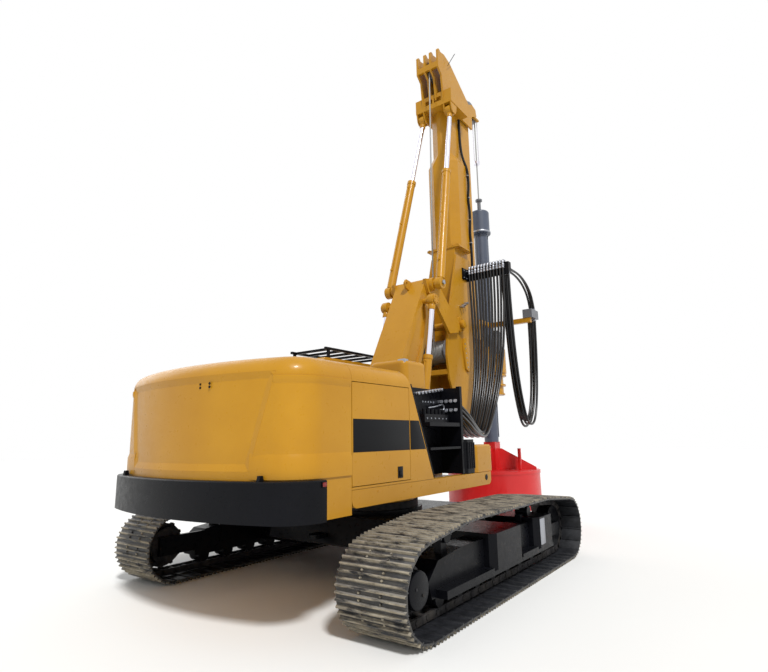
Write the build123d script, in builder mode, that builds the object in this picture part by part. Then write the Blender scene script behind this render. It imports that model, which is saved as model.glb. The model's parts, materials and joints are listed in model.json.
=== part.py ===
from build123d import *
import os
from math import acos, atan2, cos, hypot, pi, sin, tan

os.makedirs("parts", exist_ok=True)

# Crawler piling rig: a rotary drilling mast on a tracked excavator base.
# Millimetres, +Z up, ground at Z = 0, front of the machine towards -Y, its left side +X.
# Lengths along the machine are counted from the slew axis, negative forward.

# Driving dimensions
SLEW_Y = 1040            # slew axis behind the middle of the whole rig
HALF_GAUGE = 1940
SHOE_WIDTH = 780
SHOE_COUNT = 58
GROUSER = 26             # height of the three bars on a shoe
SHOE_DEPTH = 58          # bar tip to the inner face of the shoe
CHAIN_DEPTH = 138        # bar tip to the rolling face of the links
CHAIN_WIDTH = 200
DECK_Z = 1030            # underside of the revolving frame
BEAM_Z = (1130, 1310)    # side beams of the revolving frame
HALF_WIDTH = 1500        # of the upper structure
HOOD_Z = 2620
TAIL_Y = 3200            # rear face of the counterweight
TAIL_CORNER = 400        # its corners in plan
BODY_ROUND = 185         # rounded top edges of hood and counterweight
SEAM_Y = 2190            # hood meets counterweight
HOOD_FOOT_Y = 590        # lower front corner of the hood's side
HOOD_BROW_Y = 1060       # upper front corner of the hood's side
BOOM_PIN = (0, 1750)     # boom foot pin, behind the slew axis and up
BOOM_HALF = 305
TRUNNION = (-1450, 4490)
TRUNNION_HALF = 600
MAST_PIN = (-2300, 3900)
MAST_BACK = -2600        # rear face of the mast box
DRUM = (-2300, 3400)     # main winch, in the foot of the mast
MAST_HALF = 350
MAST_NECK = 220          # half width of the mast's slim upper part
RAIL_BACK = -3150
RAIL_FRONT = -3620
RAIL_HALF = 200
KELLY_Y = -4410
KELLY_RADIUS = 150
DRIVE_BORE = 205
BUCKET_RADIUS = 965
SHEAVE_RADIUS = 250
ROPE_RADIUS = 14
FIT = 5                  # running clearance between pieces that move
EYE_PLAY = 12            # play of a cylinder's rod eye on its pin
HOSE_RADIUS = 22
FITTING_RADIUS = 28      # crimped end of a hose
HOSE_JOINT = 0.5         # between a hose's end face and its fitting


def side(x):
    """Plane across the machine at x: sketch x runs back from the slew axis, sketch y up."""
    return Plane(origin=(x, SLEW_Y, 0), x_dir=(0, 1, 0), z_dir=(1, 0, 0))


def level(z):
    """Horizontal plane at height z, centred on the slew axis."""
    return Plane(origin=(0, SLEW_Y, z), x_dir=(1, 0, 0), z_dir=(0, 0, 1))


def at(x, y, z):
    """Point counted from the slew axis on the ground."""
    return Vector(x, SLEW_Y + y, z)


def slab(plane, points, depth, both=False, rounding=0):
    """A polygon on the plane, its corners rounded, drawn out to the depth."""
    with BuildPart() as piece:
        with BuildSketch(plane) as outline:
            with BuildLine():
                Polyline(*points, close=True)
            make_face()
            if rounding:
                fillet(outline.vertices(), rounding)
        extrude(amount=depth, both=both)
    return piece.part


def block(xs, ys, zs, rounding=0):
    """A box between two stations along each axis, its upright edges rounded."""
    with BuildPart() as piece:
        with BuildSketch(level(zs[0])) as outline:
            with Locations(((xs[0] + xs[1]) / 2, (ys[0] + ys[1]) / 2)):
                Rectangle(xs[1] - xs[0], ys[1] - ys[0])
            if rounding:
                fillet(outline.vertices(), rounding)
        extrude(amount=zs[1] - zs[0])
    return piece.part


def bar(start, end, radius, bore=0):
    """A round bar or tube from one point to the other."""
    with BuildPart(Plane(origin=start, z_dir=end - start)) as piece:
        Cylinder(radius, (end - start).length, align=(Align.CENTER, Align.CENTER, Align.MIN))
        if bore:
            Cylinder(bore, (end - start).length, align=(Align.CENTER, Align.CENTER, Align.MIN),
                     mode=Mode.SUBTRACT)
    return piece.part


def across(y, z, radius, x0, x1, bore=0):
    """A round bar along X at a place in the machine's side view."""
    return bar(at(x0, y, z), at(x1, y, z), radius, bore)


def save(name, part):
    part.label = name
    export_step(part, f"parts/{name}.step")


def save_pair(name, part):
    save(f"{name}_left", part)
    save(f"{name}_right", mirror(part, about=Plane.YZ))


# Tracks. Each wheel is (back from slew axis, height, radius to the bar tips of the chain on it).
CARRIER_RADIUS = 75
SPROCKET = (2073, 450, 450)
IDLER = (-2073, 446, 446)
CARRIERS = [(1240, 783, CHAIN_DEPTH + CARRIER_RADIUS), (-1100, 767, CHAIN_DEPTH + CARRIER_RADIUS)]
WHEELS = [SPROCKET, *CARRIERS, IDLER]


def belt(inset, steps):
    """Points of a belt round the wheels, that far inside the bar tips."""
    leaving = []
    for (y0, z0, r0), (y1, z1, r1) in zip(WHEELS, WHEELS[1:] + WHEELS[:1]):
        reach = hypot(y1 - y0, z1 - z0)
        leaving.append(atan2(z1 - z0, y1 - y0) - acos((r0 - r1) / reach))
    points = []
    for i, (y, z, radius) in enumerate(WHEELS):
        start, end = leaving[i - 1], leaving[i]
        while end < start:
            end += 2 * pi
        for k in range(steps + 1):
            turn = start + (end - start) * k / steps
            points.append((y + (radius - inset) * cos(turn), z + (radius - inset) * sin(turn)))
    return points


def walk(points, count):
    """That many points evenly spaced round the closed line."""
    closed = points + points[:1]
    spans = [hypot(b[0] - a[0], b[1] - a[1]) for a, b in zip(closed, closed[1:])]
    total = sum(spans)
    places, i, passed = [], 0, 0
    for k in range(count):
        goal = total * k / count
        while passed + spans[i] < goal:
            passed += spans[i]
            i += 1
        share = (goal - passed) / spans[i]
        a, b = closed[i], closed[i + 1]
        places.append((a[0] + (b[0] - a[0]) * share, a[1] + (b[1] - a[1]) * share))
    return places


def shoe_outline():
    """Outer line of the track: each shoe a flat with three bars."""
    ends = walk(belt(GROUSER, 24), SHOE_COUNT)
    outline = []
    for (y0, z0), (y1, z1) in zip(ends, ends[1:] + ends[:1]):
        length = hypot(y1 - y0, z1 - z0)
        ty, tz = (y1 - y0) / length, (z1 - z0) / length
        for middle in (0.16, 0.5, 0.84):
            for step, rise in ((-13, 0), (0, GROUSER), (13, 0)):
                along = middle * length + step
                outline.append((y0 + ty * along + tz * rise, z0 + tz * along - ty * rise))
    return outline


with BuildPart() as track:
    with BuildSketch(side(HALF_GAUGE - SHOE_WIDTH / 2)):
        with BuildLine():
            Polyline(*shoe_outline(), close=True)
        make_face()
        with BuildLine():
            Polyline(*belt(SHOE_DEPTH, 8), close=True)
        make_face(mode=Mode.SUBTRACT)
    extrude(amount=SHOE_WIDTH)
    with BuildSketch(side(HALF_GAUGE - CHAIN_WIDTH / 2)):
        with BuildLine():
            Polyline(*belt(SHOE_DEPTH - 12, 8), close=True)
        make_face()
        with BuildLine():
            Polyline(*belt(CHAIN_DEPTH, 8), close=True)
        make_face(mode=Mode.SUBTRACT)
    extrude(amount=CHAIN_WIDTH)
save_pair("track", track.part)

# Track frame with its rollers
FRAME_X = (HALF_GAUGE - 160, HALF_GAUGE + 120)
FRAME_SIDE = [(1640, 250), (1700, 420), (1500, 590), (1000, 640), (-1300, 640), (-1660, 560), (-1720, 300),
              (-1640, 250)]
ROLLER_RADIUS = 88
ROLLER_Z = CHAIN_DEPTH + 3 + ROLLER_RADIUS
BEAM_SPANS = [((-420, 450), (300, 700)), ((-1570, -970), (300, 700))]   # the two cross-beams
BEAM_REACH = 2200

with BuildPart() as track_frame:
    add(slab(side(FRAME_X[0]), FRAME_SIDE, FRAME_X[1] - FRAME_X[0]))
    add(slab(side(FRAME_X[1]), [(1560, 250), (1560, 330), (-1560, 330), (-1560, 250)], 130))
    for i in range(8):
        roller_y = -1470 + i * 420
        add(across(roller_y, ROLLER_Z, ROLLER_RADIUS, HALF_GAUGE - 110, HALF_GAUGE + 110))
    for y, z, _ in CARRIERS:
        add(across(y, z, CARRIER_RADIUS - 3, HALF_GAUGE - 90, HALF_GAUGE + 90))
        add(block((HALF_GAUGE - 40, HALF_GAUGE + 40), (y - 60, y + 60), (600, z)))
    for (y0, y1), (z0, z1) in BEAM_SPANS:
        add(block((FRAME_X[0] - 10, BEAM_REACH), (y0 - 3, y1 + 3), (z0 - 3, z1 + 3)), mode=Mode.SUBTRACT)
    add(block((HALF_GAUGE - 40, HALF_GAUGE + 40), (-1150, -900), (706, 740)))
    add(block((HALF_GAUGE - 40, HALF_GAUGE + 40), (-950, -900), (600, 740)))
    add(block((HALF_GAUGE - 170, HALF_GAUGE - 120), (1500, 2200), (330, 570)))
    for x0 in (HALF_GAUGE - 170, HALF_GAUGE + 110):
        add(block((x0, x0 + 50), (-2130, -1640), (340, 510)))
save_pair("track_frame", track_frame.part)

# Drive sprocket with its motor cover, and front idler
SPROCKET_ROOT = SPROCKET[2] - CHAIN_DEPTH - 34
with BuildPart() as sprocket:
    add(across(SPROCKET[0], SPROCKET[1], SPROCKET_ROOT, HALF_GAUGE - 35, HALF_GAUGE + 35))
    with BuildSketch(side(HALF_GAUGE - 30)):
        with Locations((SPROCKET[0], SPROCKET[1])):
            with PolarLocations(SPROCKET_ROOT + 6, 12):
                Trapezoid(60, 34, 68, rotation=-90)
    extrude(amount=60)
    add(across(SPROCKET[0], SPROCKET[1], 230, HALF_GAUGE - 120, HALF_GAUGE + 104))
    add(across(SPROCKET[0], SPROCKET[1], 160, HALF_GAUGE + 104, HALF_GAUGE + 250))
save_pair("sprocket", sprocket.part)

with BuildPart() as idler:
    add(across(IDLER[0], IDLER[1], IDLER[2] - CHAIN_DEPTH - 9, HALF_GAUGE - 90, HALF_GAUGE + 90))
    add(across(IDLER[0], IDLER[1], 70, HALF_GAUGE - 120, HALF_GAUGE + 110))
save_pair("idler", idler.part)

# Centre frame of the undercarriage, its two beams reaching through the track frames
RING_RADIUS = 740
RING_Z = (860, 950)
CARBODY_HALF = 1000
TOW_Z = (560, 610)       # hitch plates
TOW_BORE = 35
TOW_Y = (1110, -1710)    # hitch bores, rear and front
with BuildPart() as carbody:
    add(slab(side(-CARBODY_HALF), [(1000, 480), (900, 820), (-1500, 780), (-1600, 480), (-1400, 420), (800, 420)],
             2 * CARBODY_HALF))
    add(bar(at(0, 0, 500), at(0, 0, RING_Z[0]), 800))
    for bore_y, root in zip(TOW_Y, (900, -1500)):
        add(block((-90, 90), sorted((root, bore_y)), TOW_Z))
        add(bar(at(0, bore_y, TOW_Z[0]), at(0, bore_y, TOW_Z[1]), 90))
        add(bar(at(0, bore_y, TOW_Z[0]), at(0, bore_y, TOW_Z[1]), TOW_BORE), mode=Mode.SUBTRACT)
save("carbody", carbody.part)

with BuildPart() as cross_beams:
    for ys, zs in BEAM_SPANS:
        add(block((CARBODY_HALF, BEAM_REACH), ys, zs))
    chamfer(cross_beams.edges().filter_by(Axis.Z).group_by(Axis.X)[-1], 75)
save_pair("cross_beams", cross_beams.part)

with BuildPart() as slew_ring:
    add(bar(at(0, 0, RING_Z[0]), at(0, 0, RING_Z[1]), RING_RADIUS, RING_RADIUS - 150))
save("slew_ring", slew_ring.part)

# Lift cylinders stand either side of the boom
LIFT_FOOT = (-700, 1500)
LIFT_EYE = (-1260, 4150)
LIFT_X = 485
LIFT_PIN = 60
RAKER_PIN = 65

# Revolving frame
with BuildPart() as deck:
    add(bar(at(0, 0, RING_Z[1]), at(0, 0, DECK_Z), RING_RADIUS - 30, RING_RADIUS - 140))
    add(slab(side(-620), [(2150, DECK_Z), (2150, 1300), (-1150, 1300), (-1150, 1150), (-900, DECK_Z)], 1240))
    add(block((-1390, 1390), (-1040, 2150), (1180, 1240)))
    for x in (-405, 350):
        add(slab(side(x), [(420, 1290), (180, 1860), (-60, 1930), (-180, 1860), (-420, 1560), (-700, 1610),
                           (-900, 1500), (-1000, 1290)], 55))
    for x in (-605, 565):
        add(slab(side(x), [(-400, 1290), (-600, 1560), (-700, 1610), (-850, 1500), (-950, 1290)], 40))
    for x0, x1 in ((-566, -404), (404, 566)):
        add(across(*LIFT_FOOT, LIFT_PIN - 1, x0, x1))
    add(across(*BOOM_PIN, 70, -350, 350))
save("deck", deck.part)

with BuildPart() as side_beam:
    with BuildSketch(side(1390)) as beam_outline:
        with Locations(((SEAM_Y - 5 - 1060) / 2, sum(BEAM_Z) / 2)):
            Rectangle(SEAM_Y - 5 + 1060, BEAM_Z[1] - BEAM_Z[0])
        fillet(beam_outline.vertices().group_by(Axis.Y)[0], 80)
    extrude(amount=HALF_WIDTH - 1390)
save_pair("side_beam", side_beam.part)


def tail_outline(half_width, rear, front, corner):
    """Plan of the tail: a slightly bowed rear between rounded corners."""
    with BuildSketch(level(0)) as plan:
        with BuildLine():
            Line((half_width, front), (-half_width, front))
            Line((-half_width, front), (-half_width, rear - 300))
            ThreePointArc((-half_width, rear - 300), (0, rear), (half_width, rear - 300))
            Line((half_width, rear - 300), (half_width, front))
        make_face()
        fillet(plan.vertices().group_by(Axis.Y)[1], corner)
    return plan.sketch


with BuildPart() as rear_recess:
    with BuildSketch(Plane(origin=(0, SLEW_Y + TAIL_Y + 100, 0), x_dir=(-1, 0, 0), z_dir=(0, 1, 0))) as panel:
        with BuildLine():
            Polyline((-1240, 2465), (1240, 2465), (985, 1530), (-985, 1530), close=True)
        make_face()
        fillet(panel.vertices(), 70)
    extrude(amount=-600)
    extrude(tail_outline(HALF_WIDTH, TAIL_Y - 20, SEAM_Y, TAIL_CORNER), amount=HOOD_Z, mode=Mode.SUBTRACT)

with BuildPart() as counterweight:
    extrude(tail_outline(HALF_WIDTH, TAIL_Y, SEAM_Y, TAIL_CORNER), amount=HOOD_Z)
    add(block((-2000, 2000), (0, 5000), (-10, 1075)), mode=Mode.SUBTRACT)
    fillet(counterweight.faces().sort_by(Axis.Z)[-1].edges().filter_by(
        lambda edge: edge.center().Y > SLEW_Y + SEAM_Y + 1), BODY_ROUND)
    add(rear_recess.part, mode=Mode.SUBTRACT)
    add(block((-621, 621), (0, 2191), (0, 1400)), mode=Mode.SUBTRACT)
save("counterweight", counterweight.part)

with BuildPart() as tail_band:
    extrude(tail_outline(HALF_WIDTH + 85, TAIL_Y + 95, 2650, TAIL_CORNER + 40), amount=1450)
    chamfer(tail_band.faces().sort_by(Axis.Z)[-1].edges().filter_by(
        lambda edge: edge.center().Y > SLEW_Y + 2651), 12)
    extrude(tail_outline(HALF_WIDTH + 1, TAIL_Y + 1, SEAM_Y, TAIL_CORNER), amount=1460, mode=Mode.SUBTRACT)
    add(block((-2000, 2000), (0, 5000), (-10, 1075)), mode=Mode.SUBTRACT)
    for x0, x1 in ((-HALF_WIDTH - 96, -HALF_WIDTH - 80), (HALF_WIDTH + 80, HALF_WIDTH + 96)):
        add(block((x0, x1), (2665, 2725), (1385, 1435)))
    for x in (-1170, 1130):
        add(slab(side(x), [(3042, 1440), (3056, 1500), (3090, 1500), (3104, 1440)], 40))
save("tail_band", tail_band.part)

# Hood over the engine, open at both sides where the doors hang
WALL = 50
DOOR_Y = (1115, SEAM_Y - 12)
DOOR_Z = (1345, 2400)
HOOD_SIDE = [(SEAM_Y - 4, BEAM_Z[1] + 4), (SEAM_Y - 4, HOOD_Z), (HOOD_BROW_Y + 90, HOOD_Z), (HOOD_BROW_Y, HOOD_Z - 200),
             (HOOD_FOOT_Y, BEAM_Z[1] + 4)]
HOOD_ROOM = [(SEAM_Y, 0), (SEAM_Y, HOOD_Z - WALL), (HOOD_BROW_Y + 120, HOOD_Z - WALL),
             (HOOD_BROW_Y + 60, HOOD_Z - 200), (HOOD_FOOT_Y + 60, 1320), (HOOD_FOOT_Y + 60, 0)]
with BuildPart() as hood_room:
    add(slab(side(-HALF_WIDTH + WALL), HOOD_ROOM, 2 * (HALF_WIDTH - WALL)))
    fillet(hood_room.edges().filter_by(Axis.Y).group_by(Axis.Z)[-1], BODY_ROUND - WALL)

with BuildPart() as hood:
    add(slab(side(-HALF_WIDTH), HOOD_SIDE, 2 * HALF_WIDTH))
    fillet(hood.edges().filter_by(Axis.Y).group_by(Axis.Z)[-1], BODY_ROUND)
    add(hood_room.part, mode=Mode.SUBTRACT)
    for x0, x1 in ((-HALF_WIDTH - 9, -HALF_WIDTH + WALL + 9), (HALF_WIDTH - WALL - 9, HALF_WIDTH + 9)):
        add(block((x0, x1), (DOOR_Y[0] - 8, DOOR_Y[1] + 50), (DOOR_Z[0] - 8, DOOR_Z[1] + 8)), mode=Mode.SUBTRACT)
save("hood", hood.part)

with BuildPart() as hood_door:
    add(block((HALF_WIDTH - 40, HALF_WIDTH), DOOR_Y, DOOR_Z))
    add(block((HALF_WIDTH - 56, HALF_WIDTH - 40), (1250, 1330), (1400, 1480)))
save_pair("hood_door", hood_door.part)

with BuildPart() as engine:
    add(block((-600, 900), (1250, 2100), (1300, 2150)))
save("engine", engine.part)

# Routes of the hoses. One bundle hangs from the rail on the mast to the valve cabinet. From the rail's outer end
# two hang to the rotary drive's manifold and two arch over to it. A station of the first bundle is its place in
# side view and its share of the way from the rail's spacing to the loop's, and from that to the cabinet's.
BASE_STATIONS = [(-2975, 5050, 0, 0), (-2970, 4600, 0.06, 0), (-2932, 4100, 0.2, 0), (-2860, 3500, 0.42, 0),
                 (-2710, 2920, 0.65, 0), (-2450, 2370, 0.88, 0), (-2090, 1990, 1, 0.12), (-1740, 1845, 1, 0.35),
                 (-1350, 1850, 1, 0.62), (-960, 1965, 1, 0.85), (-640, 2100, 1, 1), (-345, 2230, 1, 1)]
BASE_SPACING = [(-430, -620, -1160), (-630, -740, -1235), (-830, -860, -1310), (-1030, -980, -1385)]
BASE_HOSES = [[at(top + (loop - top) * a + (end - loop) * b, y, z) for y, z, a, b in BASE_STATIONS]
              for top, loop, end in BASE_SPACING]
DRIVE_STATIONS = [(-3065, 4920), (-3070, 4500), (-3100, 3950), (-3160, 3350), (-3270, 2770), (-3440, 2290),
                  (-3610, 2045), (-3870, 2040), (-4050, 2270), (-4190, 2700), (-4280, 3230), (-4330, 3780),
                  (-4350, 4200)]
ARC_STATIONS = [(-3150, 5050), (-3430, 5058), (-3755, 5020), (-4050, 4900), (-4262, 4700), (-4330, 4465)]
DRIVE_HOSES = [[at(x, y, z) for y, z in DRIVE_STATIONS] for x in (-1165, -1095)]
DRIVE_HOSES += [[at(x, y, z) for y, z in ARC_STATIONS] for x in (-1168, -1082)]


def fitting(end, before, length):
    """Crimped fitting that carries on from the end of a hose."""
    leaving = (end - before).normalized()
    return bar(end + leaving * HOSE_JOINT, end + leaving * length, FITTING_RADIUS)


# Right front: open valve cabinet, ribbed tool box, tank, and the air filter house by the boom foot
with BuildPart() as valve_cabinet:
    add(block((-1450, -1100), (-300, 560), (1960, 2010)))
    add(block((-1140, -1100), (-300, 560), (1320, 2480)))
    add(block((-1450, -1100), (-300, -260), (1320, 2500)))
    add(block((-1460, -1400), (-320, -260), (1320, 2520)))
    add(block((-1340, -1140), (-120, 500), (2010, 2120)))
    add(block((-1450, -1140), (-300, 560), (1660, 1690)))
    for i in range(6):
        add(bar(at(-1290, -60 + i * 100, 2120), at(-1290, -60 + i * 100, 2190), 26))
    for route in BASE_HOSES:
        add(fitting(route[-1], route[-2], 50))
save("valve_cabinet", valve_cabinet.part)

with BuildPart() as tool_box:
    add(block((-1480, -900), (-620, -330), (1315, 1780), 60))
    for i in range(4):
        add(bar(at(-1480, -560 + i * 60, 1380), at(-1480, -560 + i * 60, 1740), 20))
save("tool_box", tool_box.part)

with BuildPart() as front_tank:
    add(block((-1480, -700), (-1180, -640), (1315, 1700), 60))
    chamfer(front_tank.faces().sort_by(Axis.Z)[-1].edges(), 25)
save("front_tank", front_tank.part)

with BuildPart() as filter_house:
    add(block((-1090, -480), (0, 560), (1312, 2860), 90))
    fillet(filter_house.faces().sort_by(Axis.Z)[-1].edges(), 60)
    add(bar(at(-780, 180, 2860), at(-780, 180, 2895), 70))
    add(bar(at(-780, 180, 2895), at(-780, 180, 2925), 45))
    add(bar(at(-560, 120, 2855), at(-560, 120, 2890), 30))
save("filter_house", filter_house.part)

# Cab, left front
CAB_X = (640, 1480)
CAB_SIDE = [(350, 1320), (350, 2960), (230, 3100), (-1330, 3100), (-1480, 2960), (-1740, 2100), (-1740, 1320)]
CAB_ROOM = [(295, 1380), (295, 2930), (200, 3040), (-1300, 3040), (-1425, 2930), (-1680, 2085), (-1680, 1380)]
CAB_DOOR = [(-420, 1420), (-420, 2960), (-1260, 2960), (-1500, 2150), (-1500, 1420)]
with BuildPart() as cab:
    add(slab(side(CAB_X[0]), CAB_SIDE, CAB_X[1] - CAB_X[0]))
    add(slab(side(CAB_X[0] + 50), CAB_ROOM, CAB_X[1] - CAB_X[0] - 100), mode=Mode.SUBTRACT)
    add(slab(side(CAB_X[1] - 60), [(-410, 1410), (-410, 2970), (-1266, 2970), (-1510, 2150), (-1510, 1410)], 100),
        mode=Mode.SUBTRACT)
    add(slab(side(CAB_X[1] - 60), [(240, 2050), (240, 2900), (-330, 2900), (-330, 2050)], 100, rounding=60),
        mode=Mode.SUBTRACT)
    add(slab(side(CAB_X[0] - 10), [(240, 2050), (240, 2900), (-1240, 2900), (-1500, 2050)], 100, rounding=60),
        mode=Mode.SUBTRACT)
    add(block((CAB_X[0] + 90, CAB_X[1] - 90), (250, 400), (2100, 2880)), mode=Mode.SUBTRACT)
    add(slab(side(CAB_X[0] + 80), [(-1380, 2850), (-1620, 2090), (-1620, 1480), (-1900, 1480), (-1900, 2850)],
             CAB_X[1] - CAB_X[0] - 160), mode=Mode.SUBTRACT)
save("cab", cab.part)

with BuildPart() as cab_door:
    add(slab(side(CAB_X[1] - 45), CAB_DOOR, 45))
    add(slab(side(CAB_X[1] - 60), [(-500, 2050), (-500, 2880), (-1200, 2880), (-1420, 2140), (-1420, 2050)], 100,
             rounding=50), mode=Mode.SUBTRACT)
save("cab_door", cab_door.part)

with BuildPart() as cab_seat:
    add(block((820, 1260), (-750, -250), (1380, 1760), 60))
    add(slab(side(840), [(-250, 1700), (-130, 1760), (-60, 2400), (-180, 2400), (-300, 1760)], 400))
save("cab_seat", cab_seat.part)

with BuildPart() as roof_guard:
    for y in (-1400, -1100, -800, -500, -200, 100):
        add(block((640, 1440), (y - 20, y + 20), (3230, 3270)))
    for x in (640, 1400):
        add(block((x, x + 40), (-1600, 220), (3230, 3270)))
        for y in (-1250, 120):
            add(block((x, x + 40), (y, y + 40), (3100, 3240)))
save("roof_guard", roof_guard.part)

# Boom: a leaning box, a cross tube at its top and two knee arms down to the mast pin
BOOM_BACK = [(90, 1860), (-510, 3020), (-1330, 4560)]
BOOM_SIDE = [(170, 1700), *BOOM_BACK, (-1560, 4620), (-1640, 4380), (-1330, 3500), (-900, 2600), (-170, 1650),
             (0, 1570)]
BOOM_PANEL = [(-290, 2350), (-660, 3020), (-1290, 4200), (-1330, 3900), (-1230, 3500), (-830, 2620), (-640, 2350)]
BOOM_LUG = [(-1255, 4400), (-1150, 4440), (-1120, 4520), (-1170, 4590), (-1320, 4570)]
KNEE_SIDE = [(-1250, 4560), (-1640, 4620), (-2160, 4150), (-2400, 4040), (-2470, 3900), (-2400, 3760),
             (-2070, 3700), (-1560, 4200), (-1350, 4330)]
with BuildPart() as boom:
    add(slab(side(-BOOM_HALF), BOOM_SIDE, 2 * BOOM_HALF))
    for x in (-BOOM_HALF - 60, BOOM_HALF):
        add(slab(side(x), KNEE_SIDE, 60))
    add(across(*TRUNNION, 120, -TRUNNION_HALF + 165, TRUNNION_HALF - 165))
    add(across(*TRUNNION, 82, -TRUNNION_HALF + 125, TRUNNION_HALF - 125))
    add(across(*TRUNNION, 64, -TRUNNION_HALF, TRUNNION_HALF))
    add(across(*LIFT_EYE, LIFT_PIN - EYE_PLAY, -LIFT_X - 60, LIFT_X + 60))
    add(across(*MAST_PIN, 70, -BOOM_HALF - 60, BOOM_HALF + 60))
    for x0, x1 in ((LIFT_X + 60, LIFT_X + 80), (-LIFT_X - 80, -LIFT_X - 60)):
        add(across(*LIFT_EYE, LIFT_PIN + 25, x0, x1))
    add(slab(side(-20), BOOM_LUG, 40))
    add(across(-1175, 4515, 28, -30, 30), mode=Mode.SUBTRACT)
    for x in (-BOOM_HALF, BOOM_HALF - 45):
        add(slab(side(x), BOOM_PANEL, 45, rounding=25), mode=Mode.SUBTRACT)
    add(across(*BOOM_PIN, 70 + FIT, -400, 400), mode=Mode.SUBTRACT)
save("boom", boom.part)

# Cylinders
def cylinder_pair(foot, eye, barrel_length, barrel_radius, rod_radius, pin_radius):
    """Barrel with its foot eye, and rod with its top eye, on one line."""
    line = (eye - foot).normalized()
    with BuildPart() as barrel:
        add(bar(foot + line * (pin_radius + 22), foot + line * barrel_length, barrel_radius, rod_radius + 1))
        add(bar(foot + line * (pin_radius + 22), foot + line * 160, barrel_radius))
        add(bar(foot + line * (barrel_length - 70), foot + line * barrel_length, barrel_radius + 9, rod_radius + 1))
        add(bar(foot - Vector(55, 0, 0), foot + Vector(55, 0, 0), pin_radius + 45))
        add(bar(foot - Vector(60, 0, 0), foot + Vector(60, 0, 0), pin_radius + 1), mode=Mode.SUBTRACT)
    with BuildPart() as rod:
        add(bar(foot + line * (barrel_length - 400), eye - line * (pin_radius + 22), rod_radius))
        add(bar(eye - Vector(55, 0, 0), eye + Vector(55, 0, 0), pin_radius + 45))
        add(bar(eye - Vector(60, 0, 0), eye + Vector(60, 0, 0), pin_radius + 1), mode=Mode.SUBTRACT)
    return barrel.part, rod.part


lift_barrel, lift_rod = cylinder_pair(at(LIFT_X, *LIFT_FOOT), at(LIFT_X, *LIFT_EYE), 1690, 75, 50,
                                       LIFT_PIN)
save_pair("lift_barrel", lift_barrel)
save_pair("lift_rod", lift_rod)

# Raker cylinders from the boom's cross tube up to the mast head
RAKER_FOOT_X = 540
RAKER_EYE = (-2530, 8530)
RAKER_EYE_X = 320
raker_barrel, raker_rod = cylinder_pair(at(RAKER_FOOT_X, *TRUNNION), at(RAKER_EYE_X, *RAKER_EYE), 2560, 80, 48,
                                         RAKER_PIN)
save_pair("raker_barrel", raker_barrel)
save_pair("raker_rod", raker_rod)

# Mast: rear box, guide rail in front of it, foot plates that carry the winch
def mast_plan(half):
    """Plan of the mast box: flat against the rail, its rear corners cut off."""
    return [(-half, RAIL_BACK), (-half, MAST_BACK - 120), (-half + 180, MAST_BACK), (half - 180, MAST_BACK),
            (half, MAST_BACK - 120), (half, RAIL_BACK)]


with BuildPart() as mast:
    for height, half in ((7480, MAST_HALF), (7680, MAST_NECK)):
        with BuildSketch(level(height)):
            with BuildLine():
                Polyline(*mast_plan(half), close=True)
            make_face()
    loft()
    for (z0, z1), half in (((5600, 7480), MAST_HALF), ((7680, 8660), MAST_NECK)):
        with BuildSketch(level(z0)):
            with BuildLine():
                Polyline(*mast_plan(half), close=True)
            make_face()
        extrude(amount=z1 - z0)
    add(block((-MAST_HALF - 20, MAST_HALF + 20), (RAIL_BACK, MAST_BACK + 20), (5560, 5600)))
    add(block((-250, 250), (-2340, -2110), (2960, 3050)))
    add(slab(side(-250), [(MAST_BACK, 5560), (-2560, 4400), (-2560, 3800), (-2700, 3000), (-2850, 1960),
                          (RAIL_BACK, 1900), (RAIL_BACK, 5560)], 500))
    for x in (-290, 250):
        add(slab(side(x), [(MAST_BACK, 5400), (-2200, 4100), (-2130, 3850), (-2060, 3300), (-2130, 2850),
                           (-2620, 1940), (RAIL_BACK, 1850), (RAIL_BACK, 5400)], 40))
    add(across(*MAST_PIN, 75, -300, 300), mode=Mode.SUBTRACT)
    add(across(*DRUM, 40, -250, 250))
save("mast", mast.part)

with BuildPart() as guide_rail:
    add(block((-RAIL_HALF, RAIL_HALF), (RAIL_FRONT, RAIL_BACK), (1850, 9150)))
save("guide_rail", guide_rail.part)

with BuildPart() as winch_drum:
    add(across(*DRUM, 200, -225, 225))
    for x in (-240, 220):
        add(across(*DRUM, 270, x, x + 20))
    add(across(*DRUM, 42, -260, 260), mode=Mode.SUBTRACT)
save("winch_drum", winch_drum.part)

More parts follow.
